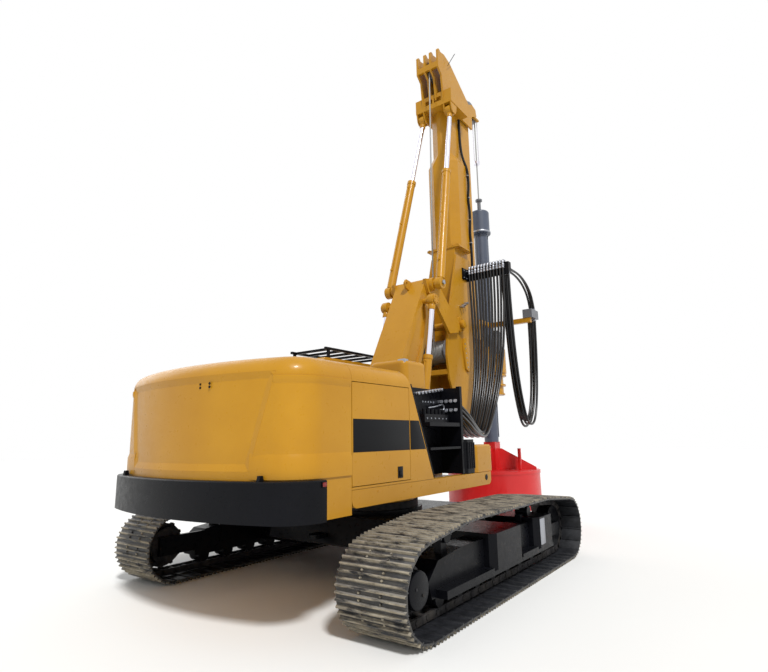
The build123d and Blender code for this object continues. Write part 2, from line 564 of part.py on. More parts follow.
# Mast head
REAR_SHEAVE = (-2560, 9560)
FRONT_SHEAVE = (KELLY_Y + SHEAVE_RADIUS + ROPE_RADIUS + 1, 9450)
HORN_SIDE = [(-2400, 8700), (-2340, 9300), (-2205, 9420), (-2205, 9800), (-2480, 9860), (-2720, 9800), (-3700, 9180),
             (-3700, 8700)]
with BuildPart() as mast_head:
    add(block((-430, 430), (RAIL_BACK, -2400), (8660, 8960)))
    for x in (-265, -90, 50, 225):
        add(slab(side(x), HORN_SIDE, 40))
        add(across(-2265, 9800, 62, x, x + 40))
    add(block((-265, 265), (-2262, -2205), (9430, 9560)))
    for x0, x1 in ((-190, -20), (20, 190)):
        add(block((x0, x1), (-2480, -2390), (8770, 8870)), mode=Mode.SUBTRACT)
    for x0 in (RAKER_EYE_X - 90, RAKER_EYE_X + 75):
        for x in (x0, -x0 - 25):
            add(slab(side(x), [(-2400, 8670), (-2430, 8500), (-2480, 8440), (-2580, 8440), (-2630, 8500), (-2660, 8670)],
                     25))
    for x0, x1 in ((RAKER_EYE_X - 66, RAKER_EYE_X + 76), (-RAKER_EYE_X - 76, -RAKER_EYE_X + 66)):
        add(across(*RAKER_EYE, RAKER_PIN - EYE_PLAY, x0, x1))
    for x in (-110, 70):
        add(slab(side(x), [(RAIL_BACK, 9150), (-4080, 9600), (-4260, 9560), (-4300, 9400), (-4100, 9300),
                           (-3650, 8900), (RAIL_BACK, 8900)], 40))
    for x0, x1 in ((-110, -50), (50, 110)):
        add(block((x0, x1), (-4425, -4180), (9330, 9370)))
    add(block((-250, 250), (RAIL_FRONT, RAIL_BACK), (9150, 9200)))
    add(across(*REAR_SHEAVE, 40, -90, 90))
    add(across(*FRONT_SHEAVE, 40, -110, 110))
    add(block((-RAIL_HALF, RAIL_HALF), (RAIL_FRONT, RAIL_BACK), (8600, 9150)), mode=Mode.SUBTRACT)
save("mast_head", mast_head.part)

SHEAVE_PROFILE = [(-45, 42), (-45, SHEAVE_RADIUS + 22), (-34, SHEAVE_RADIUS + 22), (-20, SHEAVE_RADIUS),
                  (20, SHEAVE_RADIUS), (34, SHEAVE_RADIUS + 22), (45, SHEAVE_RADIUS + 22), (45, 42)]
for name, (y, z) in (("rear_sheave", REAR_SHEAVE), ("front_sheave", FRONT_SHEAVE)):
    with BuildPart() as sheave:
        with BuildSketch(Plane(origin=at(0, y, z), x_dir=(1, 0, 0), z_dir=(0, 0, 1))):
            with BuildLine():
                Polyline(*SHEAVE_PROFILE, close=True)
            make_face()
        revolve(axis=Axis(at(0, y, z), (1, 0, 0)))
        with BuildSketch(side(-50)):
            with Locations((y, z)):
                with PolarLocations(150, 6):
                    Circle(42)
        extrude(amount=100, mode=Mode.SUBTRACT)
    save(name, sheave.part)

# Weight over the kelly bar on two rods, which stops the hoist
with BuildPart() as hoist_limit:
    add(bar(at(0, KELLY_Y, 8230), at(0, KELLY_Y, 8300), 72, ROPE_RADIUS + 6))
    for x in (-56, 56):
        add(bar(at(x, KELLY_Y, 8290), at(x, KELLY_Y, 9330), 9))
save("hoist_limit", hoist_limit.part)

# Rotary drive on its carriage
GEARBOX_RADIUS = 400
COLLAR_Z = 6480
COLLAR_RADIUS = 215
SLEEVE_RADIUS = 320
with BuildPart() as carriage:
    add(block((-260, 260), (RAIL_FRONT - 80, RAIL_FRONT - 5), (2700, 4250)))
    add(block((-260, 260), (-4200, RAIL_FRONT - 80), (2950, 3650)))
    add(bar(at(0, KELLY_Y, 2900), at(0, KELLY_Y, 3720), GEARBOX_RADIUS + 2), mode=Mode.SUBTRACT)
    for x0, x1 in ((RAIL_HALF + 6, 260), (-260, -RAIL_HALF - 6)):
        for zs in ((2750, 3150), (3800, 4200)):
            add(block((x0, x1), (RAIL_FRONT - 10, RAIL_BACK - 20), zs))
    add(block((-260, -190), (-4200, RAIL_FRONT - 70), (4150, 4250)))
    add(block((-1150, -190), (-4200, -4110), (4150, 4250)))
save("carriage", carriage.part)

with BuildPart() as rotary_drive:
    add(bar(at(0, KELLY_Y, 3150), at(0, KELLY_Y, 3720), GEARBOX_RADIUS, DRIVE_BORE))
    chamfer(rotary_drive.edges().filter_by(GeomType.CIRCLE).filter_by(
        lambda edge: edge.radius > GEARBOX_RADIUS - 1), 25)
save("rotary_drive", rotary_drive.part)

with BuildPart() as drive_motors:
    for x in (-370, 370):
        add(block((x - 100, x + 100), (-4220, -4020), (3560, 3700)))
        add(bar(at(x, -4120, 3700), at(x, -4120, 4020), 92))
        add(bar(at(x, -4120, 4020), at(x, -4120, 4060), 60))
    add(bar(at(0, KELLY_Y, 3500), at(0, KELLY_Y, 3740), GEARBOX_RADIUS + 1), mode=Mode.SUBTRACT)
save("drive_motors", drive_motors.part)

with BuildPart() as drive_sleeve:
    add(bar(at(0, KELLY_Y, 2700), at(0, KELLY_Y, 3149), SLEEVE_RADIUS, DRIVE_BORE))
save("drive_sleeve", drive_sleeve.part)

# Manifold on the carriage's arm, with fittings under it for the drive's hoses
with BuildPart() as hose_manifold:
    add(block((-1200, -1000), (-4480, -4100), (4251, 4430)))
    for route in DRIVE_HOSES:
        add(fitting(route[-1], route[-2], 60))
save("hose_manifold", hose_manifold.part)

# Rail on the mast that the hoses hang from: a channel with fittings down its rear face and under its outer end
with BuildPart() as hose_rail:
    add(block((-1200, -290), (-3120, -3000), (5140, 5170)))
    add(block((-1200, -290), (-3030, -3000), (4920, 5170)))
    add(block((-1200, -1020), (-3120, -3000), (4990, 5170)))
    for route in BASE_HOSES + DRIVE_HOSES:
        add(fitting(route[0], route[1], 90))
save("hose_rail", hose_rail.part)

# Kelly bar, the collar at its top, its swivel and the drilling bucket
with BuildPart() as kelly:
    add(bar(at(0, KELLY_Y, 1700), at(0, KELLY_Y, COLLAR_Z), KELLY_RADIUS, 60))
save("kelly", kelly.part)

with BuildPart() as kelly_collar:
    add(bar(at(0, KELLY_Y, COLLAR_Z), at(0, KELLY_Y, 7000), COLLAR_RADIUS, 60))
    fillet(kelly_collar.faces().sort_by(Axis.Z)[-1].edges().sort_by(SortBy.RADIUS)[-1], 45)
    add(bar(at(0, KELLY_Y, COLLAR_Z - 40), at(0, KELLY_Y, COLLAR_Z + 20), COLLAR_RADIUS + 12, KELLY_RADIUS + 2))
save("kelly_collar", kelly_collar.part)

with BuildPart() as swivel:
    add(bar(at(0, KELLY_Y, 7010), at(0, KELLY_Y, 7300), 42, ROPE_RADIUS + 6))
    add(bar(at(0, KELLY_Y, 7010), at(0, KELLY_Y, 7060), 62, ROPE_RADIUS + 6))
    add(bar(at(0, KELLY_Y, 7280), at(0, KELLY_Y, 7320), 78, ROPE_RADIUS + 6))
save("swivel", swivel.part)

with BuildPart() as bucket:
    add(bar(at(0, KELLY_Y, 360), at(0, KELLY_Y, 1120), BUCKET_RADIUS, BUCKET_RADIUS - 20))
    add(bar(at(0, KELLY_Y, 360), at(0, KELLY_Y, 400), BUCKET_RADIUS - 10))
    add(bar(at(0, KELLY_Y, 1080), at(0, KELLY_Y, 1120), BUCKET_RADIUS - 10))
    for z in (380, 1060):
        add(bar(at(0, KELLY_Y, z), at(0, KELLY_Y, z + 60), BUCKET_RADIUS + 12, BUCKET_RADIUS - 5))
save("bucket", bucket.part)

# Box that the kelly bar plugs into, braced to the bucket's rim, and the latch post that opens the floor
with BuildPart() as bucket_head:
    add(block((-130, 130), (KELLY_Y - 130, KELLY_Y + 130), (1121, 1699)))
    for turn in (20, 110, 200, 290):
        with BuildSketch(Plane(origin=at(0, KELLY_Y, 0), x_dir=(cos(turn * pi / 180), sin(turn * pi / 180), 0),
                               z_dir=(sin(turn * pi / 180), -cos(turn * pi / 180), 0))):
            with BuildLine():
                Polyline((100, 1121), (100, 1560), (200, 1560), (900, 1170), (900, 1121), close=True)
            make_face()
        extrude(amount=12, both=True)
    add(block((-640, -580), (KELLY_Y - 30, KELLY_Y + 30), (1121, 1560), 12))
save("bucket_head", bucket_head.part)

# Main rope: off the drum, up behind the mast, over both sheaves and down into the swivel
LAP = SHEAVE_RADIUS + ROPE_RADIUS + 1
DRUM_LAP = 214
rise = (REAR_SHEAVE[0] - DRUM[0], REAR_SHEAVE[1] - DRUM[1])
rise_turn = atan2(rise[1], rise[0]) - acos((DRUM_LAP - LAP) / hypot(*rise))
crown = atan2(REAR_SHEAVE[1] - FRONT_SHEAVE[1], REAR_SHEAVE[0] - FRONT_SHEAVE[0]) + pi / 2
with BuildPart() as main_rope:
    with BuildLine(side(0)) as rope_line:
        Line((DRUM[0] + DRUM_LAP * cos(rise_turn), DRUM[1] + DRUM_LAP * sin(rise_turn)),
             (REAR_SHEAVE[0] + LAP * cos(rise_turn), REAR_SHEAVE[1] + LAP * sin(rise_turn)))
        CenterArc(REAR_SHEAVE, LAP, rise_turn * 180 / pi, (crown - rise_turn) * 180 / pi)
        Line((REAR_SHEAVE[0] + LAP * cos(crown), REAR_SHEAVE[1] + LAP * sin(crown)),
             (FRONT_SHEAVE[0] + LAP * cos(crown), FRONT_SHEAVE[1] + LAP * sin(crown)))
        CenterArc(FRONT_SHEAVE, LAP, crown * 180 / pi, 180 - crown * 180 / pi)
        Line((FRONT_SHEAVE[0] - LAP, FRONT_SHEAVE[1]), (FRONT_SHEAVE[0] - LAP, 5500))
    with BuildSketch(Plane(origin=rope_line.line @ 0, z_dir=rope_line.line % 0)):
        Circle(ROPE_RADIUS)
    sweep(path=rope_line.line)
save("main_rope", main_rope.part)


def hoses(routes):
    """Tubes along routes of straight runs, each corner an arc as large as its two runs allow."""
    with BuildPart() as tubes:
        for route in routes:
            runs = [b - a for a, b in zip(route, route[1:])]
            radii = []
            for run, following in zip(runs, runs[1:]):
                half_turn = run.get_angle(following) / 2 * pi / 180
                radii.append(0.45 * min(run.length, following.length) / tan(half_turn))
            with BuildLine() as path:
                FilletPolyline(*route, radius=radii)
            with BuildSketch(Plane(origin=path.line @ 0, z_dir=path.line % 0)):
                Circle(HOSE_RADIUS)
            sweep(path=path.line)
            length = sum(edge.length for edge in path.edges())
            print("hose of", round(length), "mm, smallest radius", round(min(radii)), "mm")
    return tubes.part


for name, routes in (("hoses_base", BASE_HOSES), ("hoses_rotary", DRIVE_HOSES)):
    save(name, hoses(routes))
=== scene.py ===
import json
import math

import bpy
from mathutils import Matrix, Vector


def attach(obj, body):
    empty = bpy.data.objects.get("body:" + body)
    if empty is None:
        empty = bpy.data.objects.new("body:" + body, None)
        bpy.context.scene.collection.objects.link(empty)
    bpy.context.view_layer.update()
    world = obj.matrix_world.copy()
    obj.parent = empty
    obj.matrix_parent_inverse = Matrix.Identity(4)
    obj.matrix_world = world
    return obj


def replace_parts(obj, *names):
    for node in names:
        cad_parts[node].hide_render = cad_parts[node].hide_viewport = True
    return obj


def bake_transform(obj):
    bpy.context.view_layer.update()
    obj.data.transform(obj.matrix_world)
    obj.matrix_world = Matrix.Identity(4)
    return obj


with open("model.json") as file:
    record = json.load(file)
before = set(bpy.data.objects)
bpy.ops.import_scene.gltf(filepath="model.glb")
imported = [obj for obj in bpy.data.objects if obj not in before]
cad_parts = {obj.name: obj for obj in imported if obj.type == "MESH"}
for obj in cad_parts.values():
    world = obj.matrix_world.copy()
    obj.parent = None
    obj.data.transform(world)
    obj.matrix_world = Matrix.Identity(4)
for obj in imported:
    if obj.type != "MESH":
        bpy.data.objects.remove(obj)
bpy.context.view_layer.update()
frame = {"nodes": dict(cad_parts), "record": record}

# The camera, counted from the slew axis as everything lengthways on the machine is
SLEW_Y = 1.040
PHOTO_WIDTH, PHOTO_FOCAL = 768, 528.4
CAMERA_PLACE = (-4.98, 6.42, 1.82)
CAMERA_YAW, CAMERA_PITCH, CAMERA_ROLL = 35.81, 10.92, -0.965

# Places that several pieces share, each a distance from the middle plane or a (y, z) in side view
SIDES = (("left", 1), ("right", -1))
HALF_GAUGE = 1.940
SPROCKET = (2.073, 0.450)
HOOD_X = 1.500
TRUNNION = (-1.450, 4.490)
LIFT_X, LIFT_FOOT, LIFT_EYE = 0.485, (-0.700, 1.500), (-1.260, 4.150)
RAKER_FOOT_X, RAKER_EYE_X, RAKER_EYE = 0.540, 0.320, (-2.530, 8.530)
DRUM = (-2.300, 3.400)
WINCH_MOTOR = (-2.560, 3.950)
MAST_FACE_X = -0.291
KELLY_Y = -4.410


def at(x, y, z):
    """Point in metres counted from the slew axis on the ground, y back."""
    return Vector((x, SLEW_Y + y, z))


def linear(hex_colour):
    """sRGB hex to the linear colour that a shader takes."""
    channels = [int(hex_colour[i:i + 2], 16) / 255 for i in (1, 3, 5)]
    return (*[c / 12.92 if c <= 0.04045 else ((c + 0.055) / 1.055) ** 2.4 for c in channels], 1)


def set_inputs(tree, node, inputs):
    """Gives each input of a node its value, or links it from the socket."""
    for key, value in inputs.items():
        if isinstance(value, bpy.types.NodeSocket):
            tree.links.new(value, node.inputs[key])
        else:
            node.inputs[key].default_value = value


def add_node(tree, kind, inputs, stops=(), **settings):
    """Adds a node with its attributes, its inputs and, for a colour ramp, its two stops as (place, hex)."""
    made = tree.nodes.new(kind)
    for name, value in settings.items():
        setattr(made, name, value)
    set_inputs(tree, made, inputs)
    if stops:
        for element, (place, colour) in zip(made.color_ramp.elements, stops):
            element.position = place
            element.color = linear(colour)
    return made


def grains_every(millimetres):
    """Scale of a noise whose grains lie that many millimetres apart."""
    return 1000 / millimetres


def finish_material(name, **values):
    """A new material with its shader's plain values set, with its tree, its shader and the place socket."""
    material = bpy.data.materials.new(name)
    material.use_nodes = True
    tree = material.node_tree
    shader = tree.nodes["Principled BSDF"]
    set_inputs(tree, shader, {key.replace("_", " "): value for key, value in values.items()})
    place = add_node(tree, "ShaderNodeTexCoord", {}).outputs["Object"]
    return material, tree, shader, place


def enamel(name, colour, shade, dust, roughness, dusty, coat=0.2, gloss=0.4):
    """Machine enamel sprayed over steel: glossy, a little uneven in shade, specked with a film of dust. Its
    orange peel is drawn coarser than the real 1 to 2 mm, so that it shows."""
    material, tree, shader, place = finish_material(name, Coat_Weight=coat, Coat_Roughness=0.12, IOR=1.5,
                                                    Specular_IOR_Level=gloss)
    patches = add_node(tree, "ShaderNodeTexNoise",
                       {"Vector": place, "Scale": grains_every(770), "Detail": 6.0, "Roughness": 0.6})
    paint = add_node(tree, "ShaderNodeValToRGB", {"Fac": patches.outputs["Fac"]},
                     [(0.3, shade), (0.7, colour)])
    specks = add_node(tree, "ShaderNodeTexNoise",
                      {"Vector": place, "Scale": grains_every(70), "Detail": 8.0, "Roughness": 0.7})
    film = add_node(tree, "ShaderNodeMapRange",
                    {"Value": specks.outputs["Fac"], "From Min": 0.5, "From Max": 0.8,
                     "To Min": dusty * 0.3, "To Max": dusty})
    mix = add_node(tree, "ShaderNodeMix", {"Factor": film.outputs["Result"], "A": paint.outputs["Color"],
                                           "B": linear(dust)}, data_type="RGBA")
    rough = add_node(tree, "ShaderNodeMapRange",
                     {"Value": specks.outputs["Fac"], "From Min": 0.3, "From Max": 0.8,
                      "To Min": roughness - 0.05, "To Max": roughness + 0.22})
    peel = add_node(tree, "ShaderNodeTexNoise", {"Vector": place, "Scale": grains_every(6), "Detail": 2.0})
    bump = add_node(tree, "ShaderNodeBump",
                    {"Height": peel.outputs["Fac"], "Strength": 0.04, "Distance": 0.002})
    set_inputs(tree, shader, {"Base Color": mix.outputs["Result"], "Roughness": rough.outputs["Result"],
                              "Normal": bump.outputs["Normal"]})
    return material


yellow = enamel("yellow enamel", "#BA861D", "#B07C18", "#927448", 0.28, 0.08, coat=0.12, gloss=0.2)
black = enamel("black enamel", "#0E0F14", "#090A0D", "#2C2A28", 0.26, 0.08, coat=0.0, gloss=0.1)
red = enamel("red enamel", "#CE2021", "#C01B1C", "#7A3A30", 0.32, 0.06)
slate = enamel("slate enamel", "#4B5466", "#414959", "#5C5C60", 0.36, 0.2)
grey = enamel("grey enamel", "#6E7076", "#5C5E64", "#7A7670", 0.4, 0.25)


def chain_finish():
    """Forged track links: dark scale, rubbed brighter in streaks, mud dried into the hollows."""
    material, tree, shader, place = finish_material("track link steel", IOR=1.5)
    streaks = add_node(tree, "ShaderNodeTexNoise",
                       {"Vector": place, "Scale": grains_every(110), "Detail": 9.0, "Roughness": 0.68})
    steel = add_node(tree, "ShaderNodeValToRGB", {"Fac": streaks.outputs["Fac"]},
                     [(0.35, "#141416"), (0.62, "#38373A")])
    cakes = add_node(tree, "ShaderNodeTexNoise",
                     {"Vector": place, "Scale": grains_every(250), "Detail": 10.0, "Roughness": 0.7})
    mud = add_node(tree, "ShaderNodeMapRange",
                   {"Value": cakes.outputs["Fac"], "From Min": 0.45, "From Max": 0.62, "To Max": 0.4})
    mix = add_node(tree, "ShaderNodeMix", {"Factor": mud.outputs["Result"], "A": steel.outputs["Color"],
                                           "B": linear("#4A443B")}, data_type="RGBA")
    metal = add_node(tree, "ShaderNodeMapRange",
                     {"Value": mud.outputs["Result"], "To Min": 0.7, "To Max": 0.0})
    rough = add_node(tree, "ShaderNodeMapRange",
                     {"Value": cakes.outputs["Fac"], "To Min": 0.45, "To Max": 0.95})
    bump = add_node(tree, "ShaderNodeBump",
                    {"Height": cakes.outputs["Fac"], "Strength": 0.5, "Distance": 0.01})
    set_inputs(tree, shader, {"Base Color": mix.outputs["Result"], "Metallic": metal.outputs["Result"],
                              "Roughness": rough.outputs["Result"], "Normal": bump.outputs["Normal"]})
    return material


def shoe_finish():
    """Rolled track shoes: near-black steel, dried mud caked on the bars and grey dust on what faces up. The
    shoe's mud attribute says how much dirt a face shows: all on a bar, little on the plate, none inside."""
    material, tree, shader, place = finish_material("track shoe steel", IOR=1.5)
    scale = add_node(tree, "ShaderNodeTexNoise",
                     {"Vector": place, "Scale": grains_every(90), "Detail": 8.0, "Roughness": 0.65})
    steel = add_node(tree, "ShaderNodeValToRGB", {"Fac": scale.outputs["Fac"]},
                     [(0.35, "#0F1013"), (0.65, "#26272B")])
    tan = add_node(tree, "ShaderNodeValToRGB", {"Fac": scale.outputs["Fac"]},
                   [(0.3, "#7A705E"), (0.7, "#A79E8B")])
    streaked = add_node(tree, "ShaderNodeMapping", {"Vector": place, "Scale": (0.25, 1.0, 1.0)})
    cakes = add_node(tree, "ShaderNodeTexNoise",
                     {"Vector": streaked.outputs["Vector"], "Scale": grains_every(66), "Detail": 9.0,
                      "Roughness": 0.7})
    caked = add_node(tree, "ShaderNodeAttribute", {}, attribute_name="mud")
    patch = add_node(tree, "ShaderNodeMapRange",
                     {"Value": cakes.outputs["Fac"], "From Min": 0.40, "From Max": 0.54})
    mud = add_node(tree, "ShaderNodeMath", {0: caked.outputs["Fac"], 1: patch.outputs["Result"]},
                   operation="MULTIPLY")
    muddy = add_node(tree, "ShaderNodeMix", {"Factor": mud.outputs[0], "A": steel.outputs["Color"],
                                             "B": tan.outputs["Color"]}, data_type="RGBA")
    normal = add_node(tree, "ShaderNodeNewGeometry", {}).outputs["Normal"]
    facing = add_node(tree, "ShaderNodeSeparateXYZ", {"Vector": normal})
    settled = add_node(tree, "ShaderNodeMapRange",
                       {"Value": facing.outputs["Z"], "From Min": 0.55, "From Max": 1.0, "To Max": 0.7})
    grains = add_node(tree, "ShaderNodeMapRange",
                      {"Value": cakes.outputs["Fac"], "From Min": 0.38, "From Max": 0.58})
    dust = add_node(tree, "ShaderNodeMath", {0: settled.outputs["Result"], 1: grains.outputs["Result"]},
                    operation="MULTIPLY")
    outside = add_node(tree, "ShaderNodeMath", {0: caked.outputs["Fac"], 1: 0.05}, operation="GREATER_THAN")
    outer_dust = add_node(tree, "ShaderNodeMath", {0: dust.outputs[0], 1: outside.outputs[0]},
                          operation="MULTIPLY")
    dusty = add_node(tree, "ShaderNodeMix", {"Factor": outer_dust.outputs[0], "A": muddy.outputs["Result"],
                                             "B": linear("#75767A")}, data_type="RGBA")
    rough = add_node(tree, "ShaderNodeMapRange", {"Value": mud.outputs[0], "To Min": 0.42, "To Max": 0.95})
    bump = add_node(tree, "ShaderNodeBump",
                    {"Height": cakes.outputs["Fac"], "Strength": 0.5, "Distance": 0.008})
    set_inputs(tree, shader, {"Base Color": dusty.outputs["Result"], "Roughness": rough.outputs["Result"],
                              "Normal": bump.outputs["Normal"]})
    return material


chain_steel = chain_finish()
shoe_steel = shoe_finish()


def plain(name, colour, roughness, **values):
    """A clean even finish with fine grain in its roughness."""
    material, tree, shader, place = finish_material(name, **values)
    grain = add_node(tree, "ShaderNodeTexNoise", {"Vector": place, "Scale": grains_every(16), "Detail": 4.0})
    rough = add_node(tree, "ShaderNodeMapRange",
                     {"Value": grain.outputs["Fac"], "To Min": roughness * 0.8, "To Max": roughness * 1.2})
    set_inputs(tree, shader, {"Base Color": linear(colour), "Roughness": rough.outputs["Result"]})
    return material


# Bright and a little cloudy
zinc = plain("zinc-plated steel", "#A3A6AD", 0.38, Metallic=0.9)
# Ground and polished, nearly a mirror
chrome = plain("hard chrome", "#E4E2EC", 0.16, Metallic=1.0)
# Extruded over braid, black with a soft shine
rubber = plain("hose rubber", "#0B0B0D", 0.3, Specular_IOR_Level=0.5)
# Woven and dull
cloth = plain("seat cloth", "#2A2B30", 0.9)
# Drawn wires dulled by grease
rope_steel = plain("greased wire rope", "#8C8C8A", 0.45, Metallic=0.6)
# Rough from the mould
iron = plain("cast iron", "#4A4A4C", 0.6, Metallic=0.4)
# Powder-coated, hardly shines
matt_black = plain("matt black panel", "#0C0D10", 0.5, Specular_IOR_Level=0.15)
# Moulded clear red plastic
lens = plain("red lamp lens", "#8E1512", 0.12, Transmission_Weight=0.3)
# Extruded and dull
seal = plain("rubber seal", "#0E0F12", 0.6, Specular_IOR_Level=0.2)


def pane_glass():
    """Tempered cab glass: clear and flat, with a faint green tint."""
    material, tree, shader, place = finish_material("tempered glass", Roughness=0.02, IOR=1.45,
                                                    Transmission_Weight=1.0)
    film = add_node(tree, "ShaderNodeTexNoise", {"Vector": place, "Scale": grains_every(160), "Detail": 4.0})
    tint = add_node(tree, "ShaderNodeValToRGB", {"Fac": film.outputs["Fac"]},
                    [(0.3, "#C4D0CC"), (0.7, "#D6DEDB")])
    set_inputs(tree, shader, {"Base Color": tint.outputs["Color"]})
    return material


glass = pane_glass()

FINISHES = {"yellow_paint": yellow, "black_paint": black, "track_steel": chain_steel, "chrome_rod": chrome,
            "kelly_steel": slate, "red_paint": red, "grey_paint": grey, "seat_cloth": cloth,
            "rope_steel": rope_steel, "engine_iron": iron, "hose_rubber": rubber}
slot_of = {part["node"]: part["material_slot"] for part in frame["record"]["subparts"]}
for node, obj in frame["nodes"].items():
    obj.data.materials.clear()
    obj.data.materials.append(FINISHES[slot_of[node]])


# Building by hand: a primitive is added at its place, shaped, given its finish and set to ride on a body
def begin():
    """Nothing selected, so that an operator acts on the new piece alone."""
    bpy.ops.object.select_all(action="DESELECT")


def finished(name, body, finish, edge=0.0):
    """Applies the active object's place, softens its edges, names it and lets it ride."""
    piece = bpy.context.object
    piece.name = piece.data.name = name
    bpy.ops.object.transform_apply(location=True, rotation=True, scale=True)
    if edge:
        bevel = piece.modifiers.new("edges", "BEVEL")
        bevel.width = edge
        bevel.segments = 2
        bevel.limit_method = "ANGLE"
        bpy.ops.object.modifier_apply(modifier=bevel.name)
    bpy.ops.object.shade_smooth_by_angle(angle=math.radians(35))
    piece.data.materials.clear()
    piece.data.materials.append(finish)
    if body:
        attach(piece, body)
    return piece


def brick(name, body, finish, xs, ys, zs, edge=0.004):
    """A block with softened edges between stations counted from the slew axis."""
    begin()
    low, high = at(xs[0], ys[0], zs[0]), at(xs[1], ys[1], zs[1])
    bpy.ops.mesh.primitive_cube_add(size=1, location=(low + high) / 2, scale=high - low)
    return finished(name, body, finish, edge)


def rod(name, body, finish, start, end, radius, edge=0.0, sides=24):
    """A round bar from one point to the other, its rims softened."""
    begin()
    along = end - start
    bpy.ops.mesh.primitive_cylinder_add(vertices=sides, radius=radius, depth=along.length,
                                        location=(start + end) / 2,
                                        rotation=along.to_track_quat("Z", "Y").to_euler())
    return finished(name, body, finish, edge)


def plate(name, body, finish, x, outline, depth, edge=0.001):
    """A plate across the machine at x, its outline given in side view, drawn out to the depth."""
    begin()
    bpy.ops.mesh.primitive_circle_add(vertices=len(outline), fill_type="NGON")
    piece = bpy.context.object
    for corner, (y, z) in zip(piece.data.vertices, outline):
        corner.co = at(x, y, z)
    bpy.ops.object.mode_set(mode="EDIT")
    bpy.ops.mesh.select_all(action="SELECT")
    bpy.ops.mesh.extrude_region_move(TRANSFORM_OT_translate={"value": (depth, 0, 0)})
    bpy.ops.mesh.select_all(action="SELECT")
    bpy.ops.mesh.normals_make_consistent(inside=False)
    bpy.ops.object.mode_set(mode="OBJECT")
    return finished(name, body, finish, edge)


def one_mesh(pieces):
    """Several meshes made one, in the first of them."""
    begin()
    for piece in pieces:
        piece.select_set(True)
    bpy.context.view_layer.objects.active = pieces[0]
    bpy.ops.object.join()
    return pieces[0]


def joined(name, pieces, body):
    """Several meshes made one piece that rides on the body."""
    piece = one_mesh(pieces)
    piece.name = piece.data.name = name
    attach(piece, body)
    return piece


def copy_of(name, model, placement):
    """A copy with its own mesh, moved to its place."""
    copy = bpy.data.objects.new(name, model.data.copy())
    bpy.context.scene.collection.objects.link(copy)
    copy.data.transform(placement)
    return copy


def repeated(name, model, spots, body):
    """Copies of a model that stands at the world's origin and points up, each at a spot with its direction.
    The model is deleted."""
    copies = []
    for place, direction in spots:
        turn = Vector(direction).to_track_quat("Z", "Y").to_matrix().to_4x4()
        copies.append(copy_of(name, model, Matrix.Translation(place) @ turn))
    bpy.data.objects.remove(model)
    joined(name, copies, body)


def round_bar(sides, radius, depth, middle, chamfer=0.0):
    """A short upright bar on the world's Z axis, with every edge broken by the chamfer."""
    begin()
    bpy.ops.mesh.primitive_cylinder_add(vertices=sides, radius=radius, depth=depth, location=(0, 0, middle))
    if chamfer:
        bpy.ops.object.mode_set(mode="EDIT")
        bpy.ops.mesh.select_all(action="SELECT")
        bpy.ops.mesh.bevel(offset=chamfer, segments=1)
        bpy.ops.object.mode_set(mode="OBJECT")
    return bpy.context.object


def bolt(radius, finish):
    """A hexagon head on its washer, as a model to copy."""
    washer = round_bar(16, radius * 1.25, radius * 0.2, radius * 0.1)
    head = round_bar(6, radius, radius * 0.6, radius * 0.5, radius * 0.1)
    one_mesh([washer, head])
    return finished("bolt", None, finish)


def bolts(name, body, finish, radius, spots):
    """Bolt heads at the spots, each a place and the direction it stands out in."""
    repeated(name, bolt(radius, finish), spots, body)


def ring_of(centre, radius, count, direction):
    """Spots evenly round an axis, upright or across the machine, each with that direction."""
    spots = []
    for k in range(count):
        turn = 2 * math.pi * k / count
        a, b = radius * math.cos(turn), radius * math.sin(turn)
        spots.append((centre + Vector((a, b, 0) if direction[2] else (0, a, b)), direction))
    return spots


# Hoses
HOSE_RADIUS = 0.022


def smooth_line(points, steps=8):
    """The smooth line that a hose takes with these control points."""
    curve = bpy.data.curves.new("route", "CURVE")
    curve.dimensions = "3D"
    curve.resolution_u = steps
    spline = curve.splines.new("NURBS")
    spline.points.add(len(points) - 1)
    for control, place in zip(spline.points, points):
        control.co = (*place, 1)
    spline.order_u = 3
    spline.use_endpoint_u = True
    holder = bpy.data.objects.new("route", curve)
    bpy.context.scene.collection.objects.link(holder)
    line = bpy.data.meshes.new_from_object(holder)
    places = [corner.co.copy() for corner in line.vertices]
    bpy.data.objects.remove(holder)
    bpy.data.meshes.remove(line)
    return places


def skinned(name, rings, finish, angle=50):
    """A closed skin over rings that all have the same number of corners."""
    sides = len(rings[0])
    corners = [corner for ring in rings for corner in ring]
    faces = []
    for i in range(len(rings) - 1):
        for k in range(sides):
            after = (k + 1) % sides
            faces.append((i * sides + k, i * sides + after, (i + 1) * sides + after, (i + 1) * sides + k))
    faces.append(tuple(reversed(range(sides))))
    faces.append(tuple(range((len(rings) - 1) * sides, len(rings) * sides)))
    mesh = bpy.data.meshes.new(name)
    mesh.from_pydata(corners, [], faces)
    mesh.materials.append(finish)
    piece = bpy.data.objects.new(name, mesh)
    bpy.context.scene.collection.objects.link(piece)
    begin()
    piece.select_set(True)
    bpy.context.view_layer.objects.active = piece
    bpy.ops.object.mode_set(mode="EDIT")
    bpy.ops.mesh.select_all(action="SELECT")
    bpy.ops.mesh.normals_make_consistent(inside=False)
    bpy.ops.object.mode_set(mode="OBJECT")
    bpy.ops.object.shade_smooth_by_angle(angle=math.radians(angle))
    return piece


def tube(name, line, radius, finish, sides=12):
    """A closed tube round a line of points, its rings carried along without twisting."""
    across = Vector((1, 0, 0))
    rings = []
    for i, place in enumerate(line):
        along = (line[min(i + 1, len(line) - 1)] - line[max(i - 1, 0)]).normalized()
        across = (across - along * across.dot(along)).normalized()
        beside = along.cross(across)
        turns = [2 * math.pi * k / sides for k in range(sides)]
        rings.append([place + (across * math.cos(turn) + beside * math.sin(turn)) * radius for turn in turns])
    return skinned(name, rings, finish)


